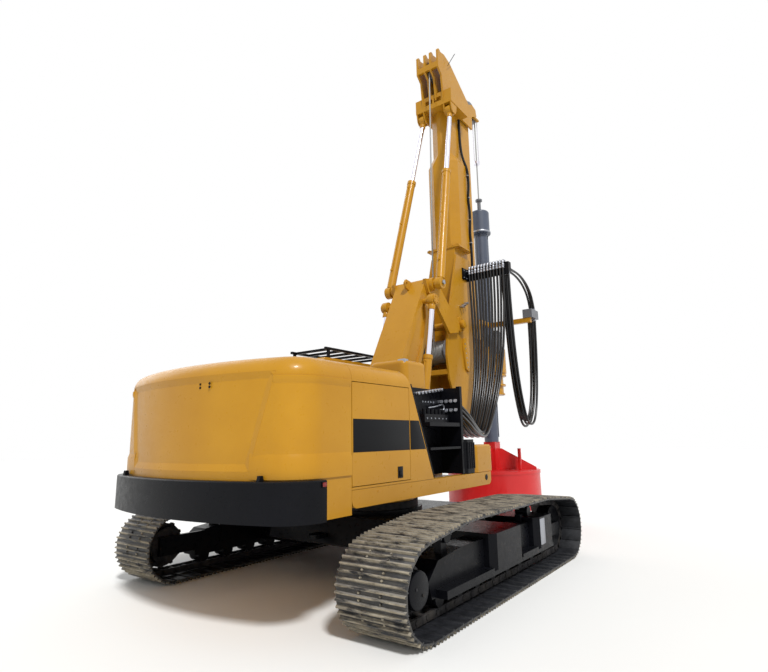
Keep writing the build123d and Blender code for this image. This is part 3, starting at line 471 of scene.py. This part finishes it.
def pipe(name, body, finish, points, radius):
    """A bent pipe through the points."""
    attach(tube(name, smooth_line(points, 6), radius, finish, 10), body)


def leaving(points):
    """A route's last point and the way that it leads out."""
    return points[-1], (points[-1] - points[-2]).normalized()


def hose(name, line, node):
    """A hose along the line that bends between two bodies, and stands for the plain tubes of its bundle."""
    piece = tube(name, line, HOSE_RADIUS, rubber)
    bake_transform(piece)
    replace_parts(piece, node)


def ferrule(radius):
    """Crimped end of a hose with its hexagon nut, as a model to copy."""
    sleeve = round_bar(16, radius * 1.32, 0.05, 0.022, 0.004)
    nut = round_bar(6, radius * 1.43, 0.03, 0.062, 0.002)
    one_mesh([sleeve, nut])
    return finished("ferrule", None, zinc)


# The wide loop from the rail on the mast to the valve cabinet. Each station is its place in side view, its
# share of the way from the rail's spacing to the loop's, and from that to the cabinet's.
BASE_STATIONS = [(-2.975, 5.050, 0, 0), (-2.970, 4.600, 0.06, 0), (-2.932, 4.100, 0.2, 0),
                 (-2.860, 3.500, 0.42, 0), (-2.710, 2.920, 0.65, 0), (-2.450, 2.370, 0.88, 0),
                 (-2.090, 1.990, 1, 0.12), (-1.740, 1.845, 1, 0.35), (-1.350, 1.850, 1, 0.62),
                 (-0.960, 1.965, 1, 0.85), (-0.640, 2.100, 1, 1), (-0.345, 2.230, 1, 1)]
TURN_STATION = 7
BASE_SPACING = [(-0.430, -0.620, -1.160), (-0.630, -0.740, -1.235), (-0.830, -0.860, -1.310),
                (-1.030, -0.980, -1.385)]
# Three hoses to each of the four routes: sideways at the rail, sideways and up in the loop, up at the cabinet
STRANDS = [(-0.064, -0.037, 0.012, -0.064), (0, 0, -0.022, 0), (0.064, 0.037, 0.012, 0.064)]


def base_line(spacing, strand):
    """Control points of one hose of the wide loop."""
    top, loop, end = spacing
    beside, spread, lift, stack = strand
    points = []
    for y, z, a, b in BASE_STATIONS:
        x = top + (loop - top) * a + (end - loop) * b
        x += beside * (1 - a) + spread * a * (1 - b)
        points.append(at(x, y + abs(stack) * 0.35 * b, z + lift * a * (1 - b) + stack * b))
    return points


rail_ends, cabinet_ends = [], []
for i, spacing in enumerate(BASE_SPACING):
    for j, strand in enumerate(STRANDS):
        points = base_line(spacing, strand)
        line = smooth_line(points)
        low = min(range(len(line)), key=lambda k: (line[k] - points[TURN_STATION]).length)
        name = f"base_hose_{3 * i + j + 1}"
        hose(name, line[:low + 1], "hoses_base")
        hose(f"{name}_foot", line[low:][::-1], "hoses_base")
        rail_ends.append(leaving(points[::-1]))
        cabinet_ends.append(leaving(points))

# The narrow loop from the rail's outer end to the rotary drive
DRIVE_STATIONS = [(-3.065, 4.920), (-3.070, 4.500), (-3.100, 3.950), (-3.160, 3.350), (-3.270, 2.770),
                  (-3.440, 2.290), (-3.610, 2.045), (-3.870, 2.040), (-4.050, 2.270), (-4.190, 2.700),
                  (-4.280, 3.230), (-4.330, 3.780), (-4.350, 4.200)]
# Five hoses: the route's x, then how far the loop hangs behind and above it
DRIVE_STRANDS = [(-1.165, 0, 0), (-1.095, 0, 0), (-1.130, 0.05, 0.06), (-1.060, 0.045, 0.075),
                 (-1.025, -0.05, -0.04)]
drive_low, drive_high = [], []
for i, (x, back, lift) in enumerate(DRIVE_STRANDS):
    points = []
    for k, (y, z) in enumerate(DRIVE_STATIONS):
        share = math.sin(math.pi * k / (len(DRIVE_STATIONS) - 1))
        points.append(at(x, y + back * share, z + lift * share))
    hose(f"drive_hose_{i + 1}", smooth_line(points), "hoses_rotary")
    drive_low.append(leaving(points[::-1]))
    drive_high.append(leaving(points))

repeated("rail_fittings", ferrule(HOSE_RADIUS), rail_ends + drive_low, "mast_frame")
repeated("cabinet_fittings", ferrule(HOSE_RADIUS), cabinet_ends, "upper")
repeated("manifold_fittings", ferrule(HOSE_RADIUS), drive_high, "rotary")

# Three hoses that arch over from the rail to the drive's manifold: the route's x, and the arch's extra rise
ARC_STATIONS = [(-3.150, 5.050), (-3.430, 5.058), (-3.755, 5.020), (-4.050, 4.900), (-4.262, 4.700),
                (-4.330, 4.465)]
ARC_STRANDS = [(-1.168, 0), (-1.125, 0.06), (-1.082, 0)]
arc_ends = []
for i, (x, lift) in enumerate(ARC_STRANDS):
    points = []
    for k, (y, z) in enumerate(ARC_STATIONS):
        points.append(at(x, y, z + lift * math.sin(math.pi * k / (len(ARC_STATIONS) - 1))))
    hose(f"arch_hose_{i + 1}", smooth_line(points), "hoses_rotary")
    arc_ends.append(leaving(points))
repeated("arch_fittings", ferrule(HOSE_RADIUS), arc_ends, "rotary")

# Pipe elbows that carry each hose on over the top of the rail
ELBOW = [(-2.975, 5.12), (-2.975, 5.20), (-3.02, 5.22), (-3.085, 5.215)]
bends = []
for place, _ in rail_ends:
    bends.append(tube("elbow", smooth_line([at(place.x, y, z) for y, z in ELBOW], 6), 0.019, zinc, 10))
joined("rail_elbows", bends, "mast_frame")

# Tracks: 58 shoes with three bars and four bolts each, on two rows of links joined by pins
SHOE_WIDTH, SHOE_COUNT, BAR_HEIGHT = 0.780, 58, 0.026
CHAIN_DEPTH, CARRIER_RADIUS = 0.138, 0.075
WHEELS = [(*SPROCKET, 0.450), (1.240, 0.783, CHAIN_DEPTH + CARRIER_RADIUS),
          (-1.100, 0.767, CHAIN_DEPTH + CARRIER_RADIUS), (-2.073, 0.446, 0.446)]


def belt_line(inset, steps=24):
    """Points of the belt round sprocket, carriers and idler, that far inside the bars' tips, in side view."""
    leaves = []
    for (y0, z0, r0), (y1, z1, r1) in zip(WHEELS, WHEELS[1:] + WHEELS[:1]):
        reach = math.hypot(y1 - y0, z1 - z0)
        leaves.append(math.atan2(z1 - z0, y1 - y0) - math.acos((r0 - r1) / reach))
    points = []
    for i, (y, z, radius) in enumerate(WHEELS):
        start, end = leaves[i - 1], leaves[i]
        while end < start:
            end += 2 * math.pi
        for k in range(steps + 1):
            turn = start + (end - start) * k / steps
            reach = radius - inset
            points.append(Vector((y + reach * math.cos(turn), z + reach * math.sin(turn))))
    return points


def evenly(points, count):
    """That many points evenly spaced round the closed line."""
    closed = points + points[:1]
    spans = [(b - a).length for a, b in zip(closed, closed[1:])]
    places, i, passed = [], 0, 0.0
    for k in range(count):
        goal = sum(spans) * k / count
        while passed + spans[i] < goal:
            passed += spans[i]
            i += 1
        places.append(closed[i].lerp(closed[i + 1], (goal - passed) / spans[i]))
    return places


def profile_bar(name, finish, outline, x0, x1, edge):
    """A length of one section, modelled round the world's origin with y along the track and z outwards."""
    return plate(name, None, finish, x0, [(y - SLEW_Y, z) for y, z in outline], x1 - x0, edge)


def track_shoe(pitch):
    """One shoe: a plate with a lip at each edge, three bars and four bolt heads."""
    half = pitch / 2 - 0.002
    outline = [(-half, -0.016), (-half, -0.002)]
    for middle in (-0.34 * pitch, 0, 0.34 * pitch):
        outline += [(middle - 0.014, 0), (middle - 0.007, BAR_HEIGHT), (middle + 0.007, BAR_HEIGHT),
                    (middle + 0.014, 0)]
    outline += [(half, -0.002), (half, -0.030), (half - 0.012, -0.030), (half - 0.016, -0.016)]
    parts = [profile_bar("shoe", shoe_steel, outline, -SHOE_WIDTH / 2, SHOE_WIDTH / 2, 0.0015)]
    for x in (-0.12, 0.12):
        for y in (-0.17 * pitch, 0.17 * pitch):
            parts.append(rod("head", None, shoe_steel, Vector((x, y, 0)), Vector((x, y, 0.014)), 0.012, 0, 6))
    shoe = one_mesh(parts)
    caked = shoe.data.attributes.new("mud", "FLOAT", "FACE")
    for face in shoe.data.polygons:
        height = face.center.z
        caked.data[face.index].value = 1.0 if height > 0.004 else 0.12 if height > -0.004 else 0.0
    return shoe


def track_link(pitch):
    """A pair of link plates with the pin that joins them to the next pair."""
    reach = pitch / 2
    outline = [(-reach - 0.034, -0.060), (-reach + 0.002, -0.034), (reach - 0.030, -0.034),
               (reach + 0.030, -0.056), (reach + 0.030, -0.098), (reach - 0.010, -0.112),
               (-reach + 0.010, -0.112), (-reach - 0.034, -0.098)]
    parts = []
    for x in (-0.096, 0.062):
        parts.append(profile_bar("link", chain_steel, outline, x, x + 0.034, 0.003))
    pin = Vector((0, reach, -0.078))
    half = Vector((0.1, 0, 0))
    parts.append(rod("pin", None, chain_steel, pin - half, pin + half, 0.024, 0, 12))
    return one_mesh(parts)


def chained(name, model, x, ends):
    """Copies of the model set round the belt, one on each span between neighbouring ends."""
    copies = []
    for a, b in zip(ends, ends[1:] + ends[:1]):
        along = (b - a).normalized()
        middle = (a + b) / 2
        axes = Matrix(((1, 0, 0), (0, -along.x, -along.y), (0, along.y, -along.x))).transposed()
        copies.append(copy_of(name, model, Matrix.Translation(at(x, middle.x, middle.y)) @ axes.to_4x4()))
    return joined(name, copies, "undercarriage")


shoe_ends = evenly(belt_line(BAR_HEIGHT), SHOE_COUNT)
PITCH = (shoe_ends[1] - shoe_ends[0]).length
shoe_model, link_model = track_shoe(PITCH), track_link(PITCH)
for side, sign in SIDES:
    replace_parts(chained(f"track_shoes_{side}", shoe_model, sign * HALF_GAUGE, shoe_ends), f"track_{side}")
    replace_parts(chained(f"track_links_{side}", link_model, sign * HALF_GAUGE, shoe_ends), f"track_{side}")
bpy.data.objects.remove(shoe_model)
bpy.data.objects.remove(link_model)

# Motor covers over the sprockets' hubs: a flange, a domed cap with a ring of bolts, two drain plugs
HUB_ROOT, HUB_FLANGE, HUB_FACE = 0.100, 0.150, 0.258
for side, sign in SIDES:
    root, flange, face = [at(sign * (HALF_GAUGE + x), *SPROCKET) for x in (HUB_ROOT, HUB_FLANGE, HUB_FACE)]
    rod(f"motor_flange_{side}", "undercarriage", black, root, flange, 0.205, 0.008, 48)
    rod(f"motor_cover_{side}", "undercarriage", black, flange, face, 0.172, 0.022, 48)
    bolts(f"motor_bolts_{side}", "undercarriage", black, 0.010, ring_of(flange, 0.188, 16, (sign, 0, 0)))
    for k, place in enumerate(((0.06, 0.02), (-0.05, -0.05))):
        plug = face + Vector((0, *place))
        rod(f"drain_plug_{side}_{k + 1}", "undercarriage", chain_steel,
            plug, plug + Vector((sign * 0.008, 0, 0)), 0.016, 0.002, 6)

# Plate on the end of the front right cross-beam
brick("beam_plate", "undercarriage", zinc, (-2.206, -2.199), (-1.22, -1.04), (0.34, 0.68), 0.003)

# Hood: plain dark panels along both sides, latches, the seal down its slanted front edge
PANEL_FOOT, PANEL_TOP = 1.68, 2.02
for side, sign in SIDES:
    x = HOOD_X * sign
    proud = 0.003 * sign
    plate(f"door_panel_{side}", f"door_{side}", matt_black, x,
          [(1.12, PANEL_FOOT), (2.165, PANEL_FOOT), (2.165, PANEL_TOP), (1.12, PANEL_TOP)], proud)
    plate(f"hood_panel_{side}", "upper", matt_black, x,
          [(0.76, PANEL_FOOT), (1.10, PANEL_FOOT), (1.10, PANEL_TOP), (0.905, PANEL_TOP)], proud)
    plate(f"hood_seal_{side}", "upper", seal, x - 0.05 * sign,
          [(0.560, 1.335), (0.592, 1.335), (1.062, 2.420), (1.045, 2.460)], 0.052 * sign, 0.006)
    brick(f"latch_plate_{side}", f"door_{side}", matt_black, sorted((x, x + 0.006 * sign)), (1.275, 1.375),
          (1.375, 1.500))
    brick(f"latch_paddle_{side}", f"door_{side}", black, sorted((x + 0.006 * sign, x + 0.016 * sign)),
          (1.295, 1.355), (1.395, 1.455))
    bolts(f"beam_bolts_{side}", "upper", yellow, 0.008,
          [(at(x, y, 1.265), (sign, 0, 0)) for y in (1.75, 1.1, 0.45, -0.2)])
    rod(f"beam_port_{side}", "upper", matt_black,
        at(x, -0.90, 1.235), at(x + 0.004 * sign, -0.90, 1.235), 0.042, 0.001, 32)

# Counterweight: slopes round its rear recess, and the pressed ledges that run round both corners. The rear is
# bowed round a middle behind the slew axis, and runs into a corner's arc at the half width CORNER_START.
TAIL_ARC, TAIL_MIDDLE = 3.900, -0.700
CORNER_ARC, CORNER_MIDDLE, CORNER_START = 0.400, (1.100, 2.6227), 1.2257
RECESS = [(1.240, 2.465), (-1.240, 2.465), (-0.985, 1.530), (0.985, 1.530)]
RECESS_FLOOR = [(1.150, 2.395), (-1.150, 2.395), (-0.930, 1.600), (0.930, 1.600)]
RECESS_DEPTH = 0.020
SLOPE_STEPS = 12


def on_tail(place, depth):
    """Point on the bowed rear at a place (x, z), that far under its surface."""
    x, z = place
    return at(x, TAIL_MIDDLE + math.sqrt((TAIL_ARC - depth) ** 2 - x * x), z)


for i in range(4):
    rings = []
    rim_start, rim_end = Vector(RECESS[i]), Vector(RECESS[(i + 1) % 4])
    floor_start, floor_end = Vector(RECESS_FLOOR[i]), Vector(RECESS_FLOOR[(i + 1) % 4])
    for k in range(SLOPE_STEPS + 1):
        outer = rim_start + (rim_end - rim_start) * (k / SLOPE_STEPS)
        inner = floor_start + (floor_end - floor_start) * (k / SLOPE_STEPS)
        rings.append([on_tail(outer, -0.0015), on_tail(inner, RECESS_DEPTH - 0.001),
                      on_tail(inner, RECESS_DEPTH + 0.01), on_tail(outer, RECESS_DEPTH + 0.01)])
    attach(skinned(f"recess_slope_{i + 1}", rings, yellow, 20), "upper")


def corner_line(sign, start):
    """Places and outward directions round one rear corner, from that half width to the hood's seam."""
    stations = []
    for k in range(6):
        x = start + (CORNER_START - start) * k / 5
        y = TAIL_MIDDLE + math.sqrt(TAIL_ARC ** 2 - x * x)
        stations.append((Vector((x * sign, y, 0)), Vector((x * sign, y - TAIL_MIDDLE, 0)).normalized()))
    first = math.atan2(math.sqrt(TAIL_ARC ** 2 - CORNER_START ** 2), CORNER_START)
    for k in range(1, 10):
        turn = first * (1 - k / 9)
        out = Vector((math.cos(turn) * sign, math.sin(turn), 0))
        stations.append((Vector((CORNER_MIDDLE[0] * sign, CORNER_MIDDLE[1], 0)) + out * CORNER_ARC, out))
    stations.append((Vector((HOOD_X * sign, 2.200, 0)), Vector((sign, 0, 0))))
    return stations


def ledge(name, sign, start, section, grown):
    """A pressed ledge round a corner. Its section is (outwards, up), grown in over the first stations."""
    rings = []
    for k, (place, out) in enumerate(corner_line(sign, start)):
        share = min(1, (k + 0.3) / grown)
        ring = []
        for proud, z in section:
            ring.append(at(*(place + out * (proud * share if proud > 0 else proud))) + Vector((0, 0, z)))
        rings.append(ring)
    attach(skinned(name, rings, yellow, 30), "upper")


SKIRT = [(-0.004, 1.460), (0.016, 1.460), (0.016, 1.640), (-0.004, 1.700)]
BROW = [(-0.004, 2.330), (0.012, 2.375), (0.012, 2.420), (-0.004, 2.425)]
for side, sign in SIDES:
    ledge(f"tail_skirt_{side}", sign, 0.99, SKIRT, 4)
    ledge(f"tail_brow_{side}", sign, 1.215, BROW, 3)
bolts("tail_bolts", "upper", black, 0.011,
      [(at(x, 3.165, z), (0, 1, 0)) for x in (-0.32, -0.47) for z in (2.350, 2.385)])

# Lamps at the band's corners
for side, sign in SIDES:
    brick(f"corner_lens_{side}", "upper", lens, sorted((sign * 1.595, sign * 1.600)), (2.670, 2.720),
          (1.390, 1.430), 0.002)

# Filter house: cover bolts, hinge on its edge
bolts("filter_bolts", "upper", yellow, 0.009,
      [(at(x, y, 2.86), (0, 0, 1)) for x in (-0.98, -0.60) for y in (0.10, 0.46)])
brick("filter_hinge", "upper", zinc, (-1.070, -0.950), (0.440, 0.530), (2.815, 2.872), 0.008)

# Valve cabinet: unions on the back wall, small plugs under them and a bent pipe, bolts on the valve bank
repeated("cabinet_unions", ferrule(0.017),
         [(at(-1.14, 0.42 - 0.09 * k, 2.40 + 0.012 * k), (-1, 0, 0)) for k in range(8)], "upper")
bolts("cabinet_plugs", "upper", zinc, 0.011,
      [(at(-1.14, 0.22 - 0.07 * k, 2.30), (-1, 0, 0)) for k in range(5)])
pipe("cabinet_pipe", "upper", zinc, [at(-1.155, 0.10, 2.22), at(-1.20, 0.02, 2.23), at(-1.21, -0.12, 2.26),
                                     at(-1.21, -0.22, 2.28), at(-1.21, -0.25, 2.22), at(-1.20, -0.20, 2.17),
                                     at(-1.16, 0.00, 2.16)], 0.010)
bolts("bank_bolts", "upper", zinc, 0.009, [(at(-1.34, -0.06 + 0.1 * k, 2.065), (-1, 0, 0)) for k in range(6)])

# Boom: nuts on the cross tube's ends, bolted caps on the lift cylinders' pins
for side, sign in SIDES:
    rod(f"trunnion_nut_{side}", "boom_arm", zinc,
        at(sign * 0.600, *TRUNNION), at(sign * 0.632, *TRUNNION), 0.044, 0.004, 6)
    bolts(f"lift_cap_bolts_{side}", "boom_arm", yellow, 0.012,
          ring_of(at(sign * 0.565, *LIFT_EYE), 0.058, 6, (sign, 0, 0)))


def barrel_ports(name, body, foot, eye, radius, stations):
    """Ports on a cylinder's barrel, that far up from its foot, and the pipe that joins them."""
    line = (eye - foot).normalized()
    out = (Vector((0, 1, 0)) - line * line.y).normalized()
    pieces = []
    for station in stations:
        start = foot + line * station + out * (radius - 0.006)
        pieces.append(rod(name, None, yellow, start, start + out * 0.036, 0.022, 0.003, 16))
    beside = foot + out * (radius + 0.016)
    pieces.append(rod(name, None, yellow, beside + line * stations[0], beside + line * stations[-1],
                      0.011, 0, 12))
    joined(name, pieces, body)


def rod_eye(name, body, foot, eye, radius, neck):
    """Painted eye and neck of a cylinder's rod, over the chromed ones."""
    toward = (foot - eye).normalized()
    half = Vector((0.0565, 0, 0))
    bearing = rod(name, None, yellow, eye - half, eye + half, radius, 0.006, 40)
    collar = rod(name, None, yellow, eye + toward * (radius - 0.02), eye + toward * (radius + 0.08),
                 neck, 0.008, 32)
    joined(name, [bearing, collar], body)


for side, sign in SIDES:
    foot, eye = at(sign * LIFT_X, *LIFT_FOOT), at(sign * LIFT_X, *LIFT_EYE)
    barrel_ports(f"lift_ports_{side}", "lift_barrels", foot, eye, 0.075, (0.42, 0.98, 1.58))
    rod_eye(f"lift_eye_{side}", "lift_rods", foot, eye, 0.108, 0.062)
    foot, eye = at(sign * RAKER_FOOT_X, *TRUNNION), at(sign * RAKER_EYE_X, *RAKER_EYE)
    barrel_ports(f"raker_ports_{side}", "raker_barrels", foot, eye, 0.080, (0.45, 1.50, 2.38))
    rod_eye(f"raker_eye_{side}", f"raker_{side}", foot, eye, 0.113, 0.060)

# Bracket that carries the hose rail on the mast's side
brick("rail_bracket", "mast_frame", black, (-0.318, MAST_FACE_X), (-3.000, -2.790), (4.930, 5.165), 0.006)
bolts("bracket_bolts", "mast_frame", zinc, 0.012,
      [(at(-0.318, y, z), (-1, 0, 0)) for y in (-2.95, -2.84) for z in (4.97, 5.12)])

# Winch: gearbox and motor beside the drum, cable guard, three valves, the rope's turns
root, flange, face = [at(x, *WINCH_MOTOR) for x in (MAST_FACE_X, -0.345, -0.430)]
rod("winch_gearbox", "mast_frame", yellow, root, flange, 0.150, 0.012, 48)
rod("winch_motor", "mast_frame", yellow, flange, face, 0.082, 0.012, 32)
bolts("winch_motor_bolts", "mast_frame", yellow, 0.011, ring_of(flange, 0.122, 12, (-1, 0, 0)))
plate("cable_guard", "mast_frame", yellow, -0.330,
      [(-2.86, 3.05), (-2.74, 3.10), (-2.66, 3.55), (-2.70, 3.70), (-2.84, 3.72), (-2.93, 3.50)],
      0.038, 0.005)
bolts("guard_bolts", "mast_frame", zinc, 0.012,
      [(at(-0.330, -2.80 + 0.018 * k, 3.14 + 0.09 * k), (-1, 0, 0)) for k in range(6)])
for k in range(3):
    place = at(-0.300, -2.64 - 0.09 * k, 4.32 + 0.05 * k)
    rod(f"winch_valve_{k + 1}", "mast_frame", zinc, place, place - Vector((0.085, 0, 0)), 0.026, 0.004, 16)
ROPE_TURNS, ROPE_STEPS, WOUND_RADIUS, WOUND_HALF = 13, 28, 0.214, 0.192
rope_line = []
for k in range(ROPE_TURNS * ROPE_STEPS):
    turn = 2 * math.pi * k / ROPE_STEPS
    x = -WOUND_HALF + 2 * WOUND_HALF * k / (ROPE_TURNS * ROPE_STEPS)
    rope_line.append(at(x, DRUM[0] + WOUND_RADIUS * math.cos(turn), DRUM[1] + WOUND_RADIUS * math.sin(turn)))
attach(tube("drum_rope", rope_line, 0.014, rope_steel, 8), "winch")

# Mast: bolts of its flange, the clipped conduit up its right side, the antenna on the crosshead
bolts("flange_bolts", "mast_frame", yellow, 0.017,
      [(at(-0.33 + 0.11 * k, -2.595, z), (0, 0, way))
       for k in range(7) for z, way in ((5.600, 1), (5.560, -1))])
conduit = []
for k in range(9):
    conduit.append(at(-0.385 - 0.012 * math.sin(k * 1.9), -3.085 + 0.02 * math.sin(k * 2.3), 5.25 + 0.25 * k))
conduit += [at(-0.375, -3.08, 7.45), at(-0.30, -3.08, 7.66), at(-0.255, -3.08, 7.90), at(-0.245, -3.07, 8.3),
            at(-0.25, -3.06, 8.62)]
pipe("mast_conduit", "mast_frame", seal, conduit, 0.026)
for k in range(4):
    z = 5.75 + 0.5 * k
    brick(f"conduit_clip_{k + 1}", "mast_frame", zinc, (-0.41, -0.35), (-3.115, -3.055), (z, z + 0.02), 0.003)
pipe("antenna", "mast_frame", seal, [at(-0.31, -2.55, 9.62), at(-0.34, -2.65, 9.80), at(-0.39, -2.74, 9.98)],
     0.007)

# Kelly bar: three drive keys along it, a light ring under its collar
KEY_MIDDLE, KEY_REACH, KEY_SIZE = at(0, KELLY_Y, 4.1), 0.155, (0.024, 0.040, 4.6)
for k in range(3):
    turn = math.radians(91 + 120 * k)
    out = Vector((math.cos(turn), math.sin(turn), 0))
    begin()
    bpy.ops.mesh.primitive_cube_add(size=1, location=KEY_MIDDLE + out * KEY_REACH, scale=KEY_SIZE,
                                    rotation=(0, 0, turn))
    finished(f"drive_key_{k + 1}", "drill_string", slate, 0.004)


def kelly_ring(name, body, finish, radii, heights, edge):
    """A flat ring round the kelly bar, its section spun about the bar's middle."""
    begin()
    middle = at(0, KELLY_Y, 0)
    section = [(radii[0], heights[0]), (radii[1], heights[0]), (radii[1], heights[1]), (radii[0], heights[1])]
    bpy.ops.mesh.primitive_circle_add(vertices=len(section), fill_type="NOTHING")
    for corner, (radius, height) in zip(bpy.context.object.data.vertices, section):
        corner.co = middle + Vector((radius, 0, height))
    bpy.ops.object.mode_set(mode="EDIT")
    bpy.ops.mesh.select_all(action="SELECT")
    bpy.ops.mesh.spin(steps=48, angle=2 * math.pi, center=middle, axis=(0, 0, 1))
    bpy.ops.mesh.select_all(action="SELECT")
    bpy.ops.mesh.remove_doubles(threshold=0.0002)
    bpy.ops.mesh.normals_make_consistent(inside=False)
    bpy.ops.object.mode_set(mode="OBJECT")
    finished(name, body, finish, edge)


kelly_ring("collar_ring", "drill_string", zinc, (0.205, 0.236), (6.455, 6.492), 0.004)

# Rotary drive: flanges of its sleeve and of the gearbox, with their bolts
for name, low, high, radius in (("foot", 2.700, 2.735, 0.345), ("middle", 2.890, 2.930, 0.372),
                                ("top", 3.105, 3.148, 0.392)):
    kelly_ring(f"sleeve_flange_{name}", "rotary", yellow, (0.300, radius), (low, high), 0.005)
bolts("sleeve_bolts", "rotary", zinc, 0.014, ring_of(at(0, KELLY_Y, 2.930), 0.346, 20, (0, 0, 1)))
bolts("gearbox_bolts", "rotary", yellow, 0.016, ring_of(at(0, KELLY_Y, 3.720), 0.350, 24, (0, 0, 1)))

# Glass of the cab
PANE_FOOT, PANE_TOP = 2.055, 2.895
plate("cab_glass_front", "upper", glass, 0.725,
      [(-1.725, 1.49), (-1.725, 2.095), (-1.497, 2.845), (-1.491, 2.843), (-1.719, 2.094), (-1.719, 1.49)],
      0.67, 0)
plate("cab_glass_right", "upper", glass, 0.662,
      [(0.235, PANE_FOOT), (0.235, PANE_TOP), (-1.236, PANE_TOP), (-1.494, PANE_FOOT)], 0.006, 0)
plate("cab_glass_left", "upper", glass, 1.452,
      [(0.235, PANE_FOOT), (0.235, PANE_TOP), (-0.325, PANE_TOP), (-0.325, PANE_FOOT)], 0.006, 0)
brick("cab_glass_rear", "upper", glass, (0.732, 1.388), (0.318, 0.324), (2.102, 2.878), 0.001)
plate("cab_glass_door", "cab_entry", glass, 1.455,
      [(-0.505, PANE_FOOT), (-0.505, 2.875), (-1.197, 2.875), (-1.415, 2.145), (-1.415, PANE_FOOT)], 0.006, 0)

# The record's slot for each finish, by the finish's name, with the track shoes' steel under the track's slot
slot_by_finish = {material.name: slot for slot, material in FINISHES.items()}
slot_by_finish[shoe_steel.name] = "track_steel"


def studio():
    """A pale floor and world, a broad soft sun with a weak fill, and the camera where the photograph was taken."""
    scene = bpy.context.scene
    scene.view_settings.view_transform = "Standard"
    world = bpy.data.worlds.new("studio")
    scene.world = world
    world.use_nodes = True
    tree = world.node_tree
    tree.nodes.clear()
    rays = add_node(tree, "ShaderNodeLightPath", {})
    seen = add_node(tree, "ShaderNodeMath",
                    {0: rays.outputs["Is Camera Ray"], 1: rays.outputs["Is Glossy Ray"]}, operation="MAXIMUM")
    seen = add_node(tree, "ShaderNodeMath", {0: seen.outputs[0], 1: rays.outputs["Is Transmission Ray"]},
                    operation="MAXIMUM")
    lit = add_node(tree, "ShaderNodeBackground", {"Color": linear("#FFFFFF"), "Strength": 0.5})
    backdrop = add_node(tree, "ShaderNodeBackground", {"Color": linear("#FFFFFF"), "Strength": 1.0})
    mix = add_node(tree, "ShaderNodeMixShader",
                   {0: seen.outputs[0], 1: lit.outputs[0], 2: backdrop.outputs[0]})
    add_node(tree, "ShaderNodeOutputWorld", {"Surface": mix.outputs[0]})

    begin()
    bpy.ops.mesh.primitive_plane_add(size=120, location=(0, 0, -0.004))
    floor = bpy.context.object
    floor.name = "floor"
    floor.data.materials.append(plain("pale floor", "#F2F2F0", 0.9))

    for name, turn, strength, angle in (("sun", (42, 0, 234), 2.75, 8), ("fill", (60, 0, 80), 0.35, 40)):
        lamp = bpy.data.lights.new(name, "SUN")
        lamp.energy = strength
        lamp.angle = math.radians(angle)
        holder = bpy.data.objects.new(name, lamp)
        holder.rotation_euler = [math.radians(a) for a in turn]
        scene.collection.objects.link(holder)

    camera = bpy.data.objects.new("camera", bpy.data.cameras.new("camera"))
    camera.data.lens = PHOTO_FOCAL / PHOTO_WIDTH * camera.data.sensor_width
    camera.data.clip_end = 200
    yaw, pitch = math.radians(CAMERA_YAW), math.radians(CAMERA_PITCH)
    forward = Vector((math.sin(yaw) * math.cos(pitch), -math.cos(yaw) * math.cos(pitch), math.sin(pitch)))
    right = forward.cross(Vector((0, 0, 1))).normalized()
    up = right.cross(forward)
    turn = Matrix.Rotation(math.radians(-CAMERA_ROLL), 3, forward)
    axes = Matrix((turn @ right, turn @ up, -forward)).transposed()
    camera.matrix_world = Matrix.Translation(at(*CAMERA_PLACE)) @ axes.to_4x4()
    scene.collection.objects.link(camera)
    scene.camera = camera


studio()
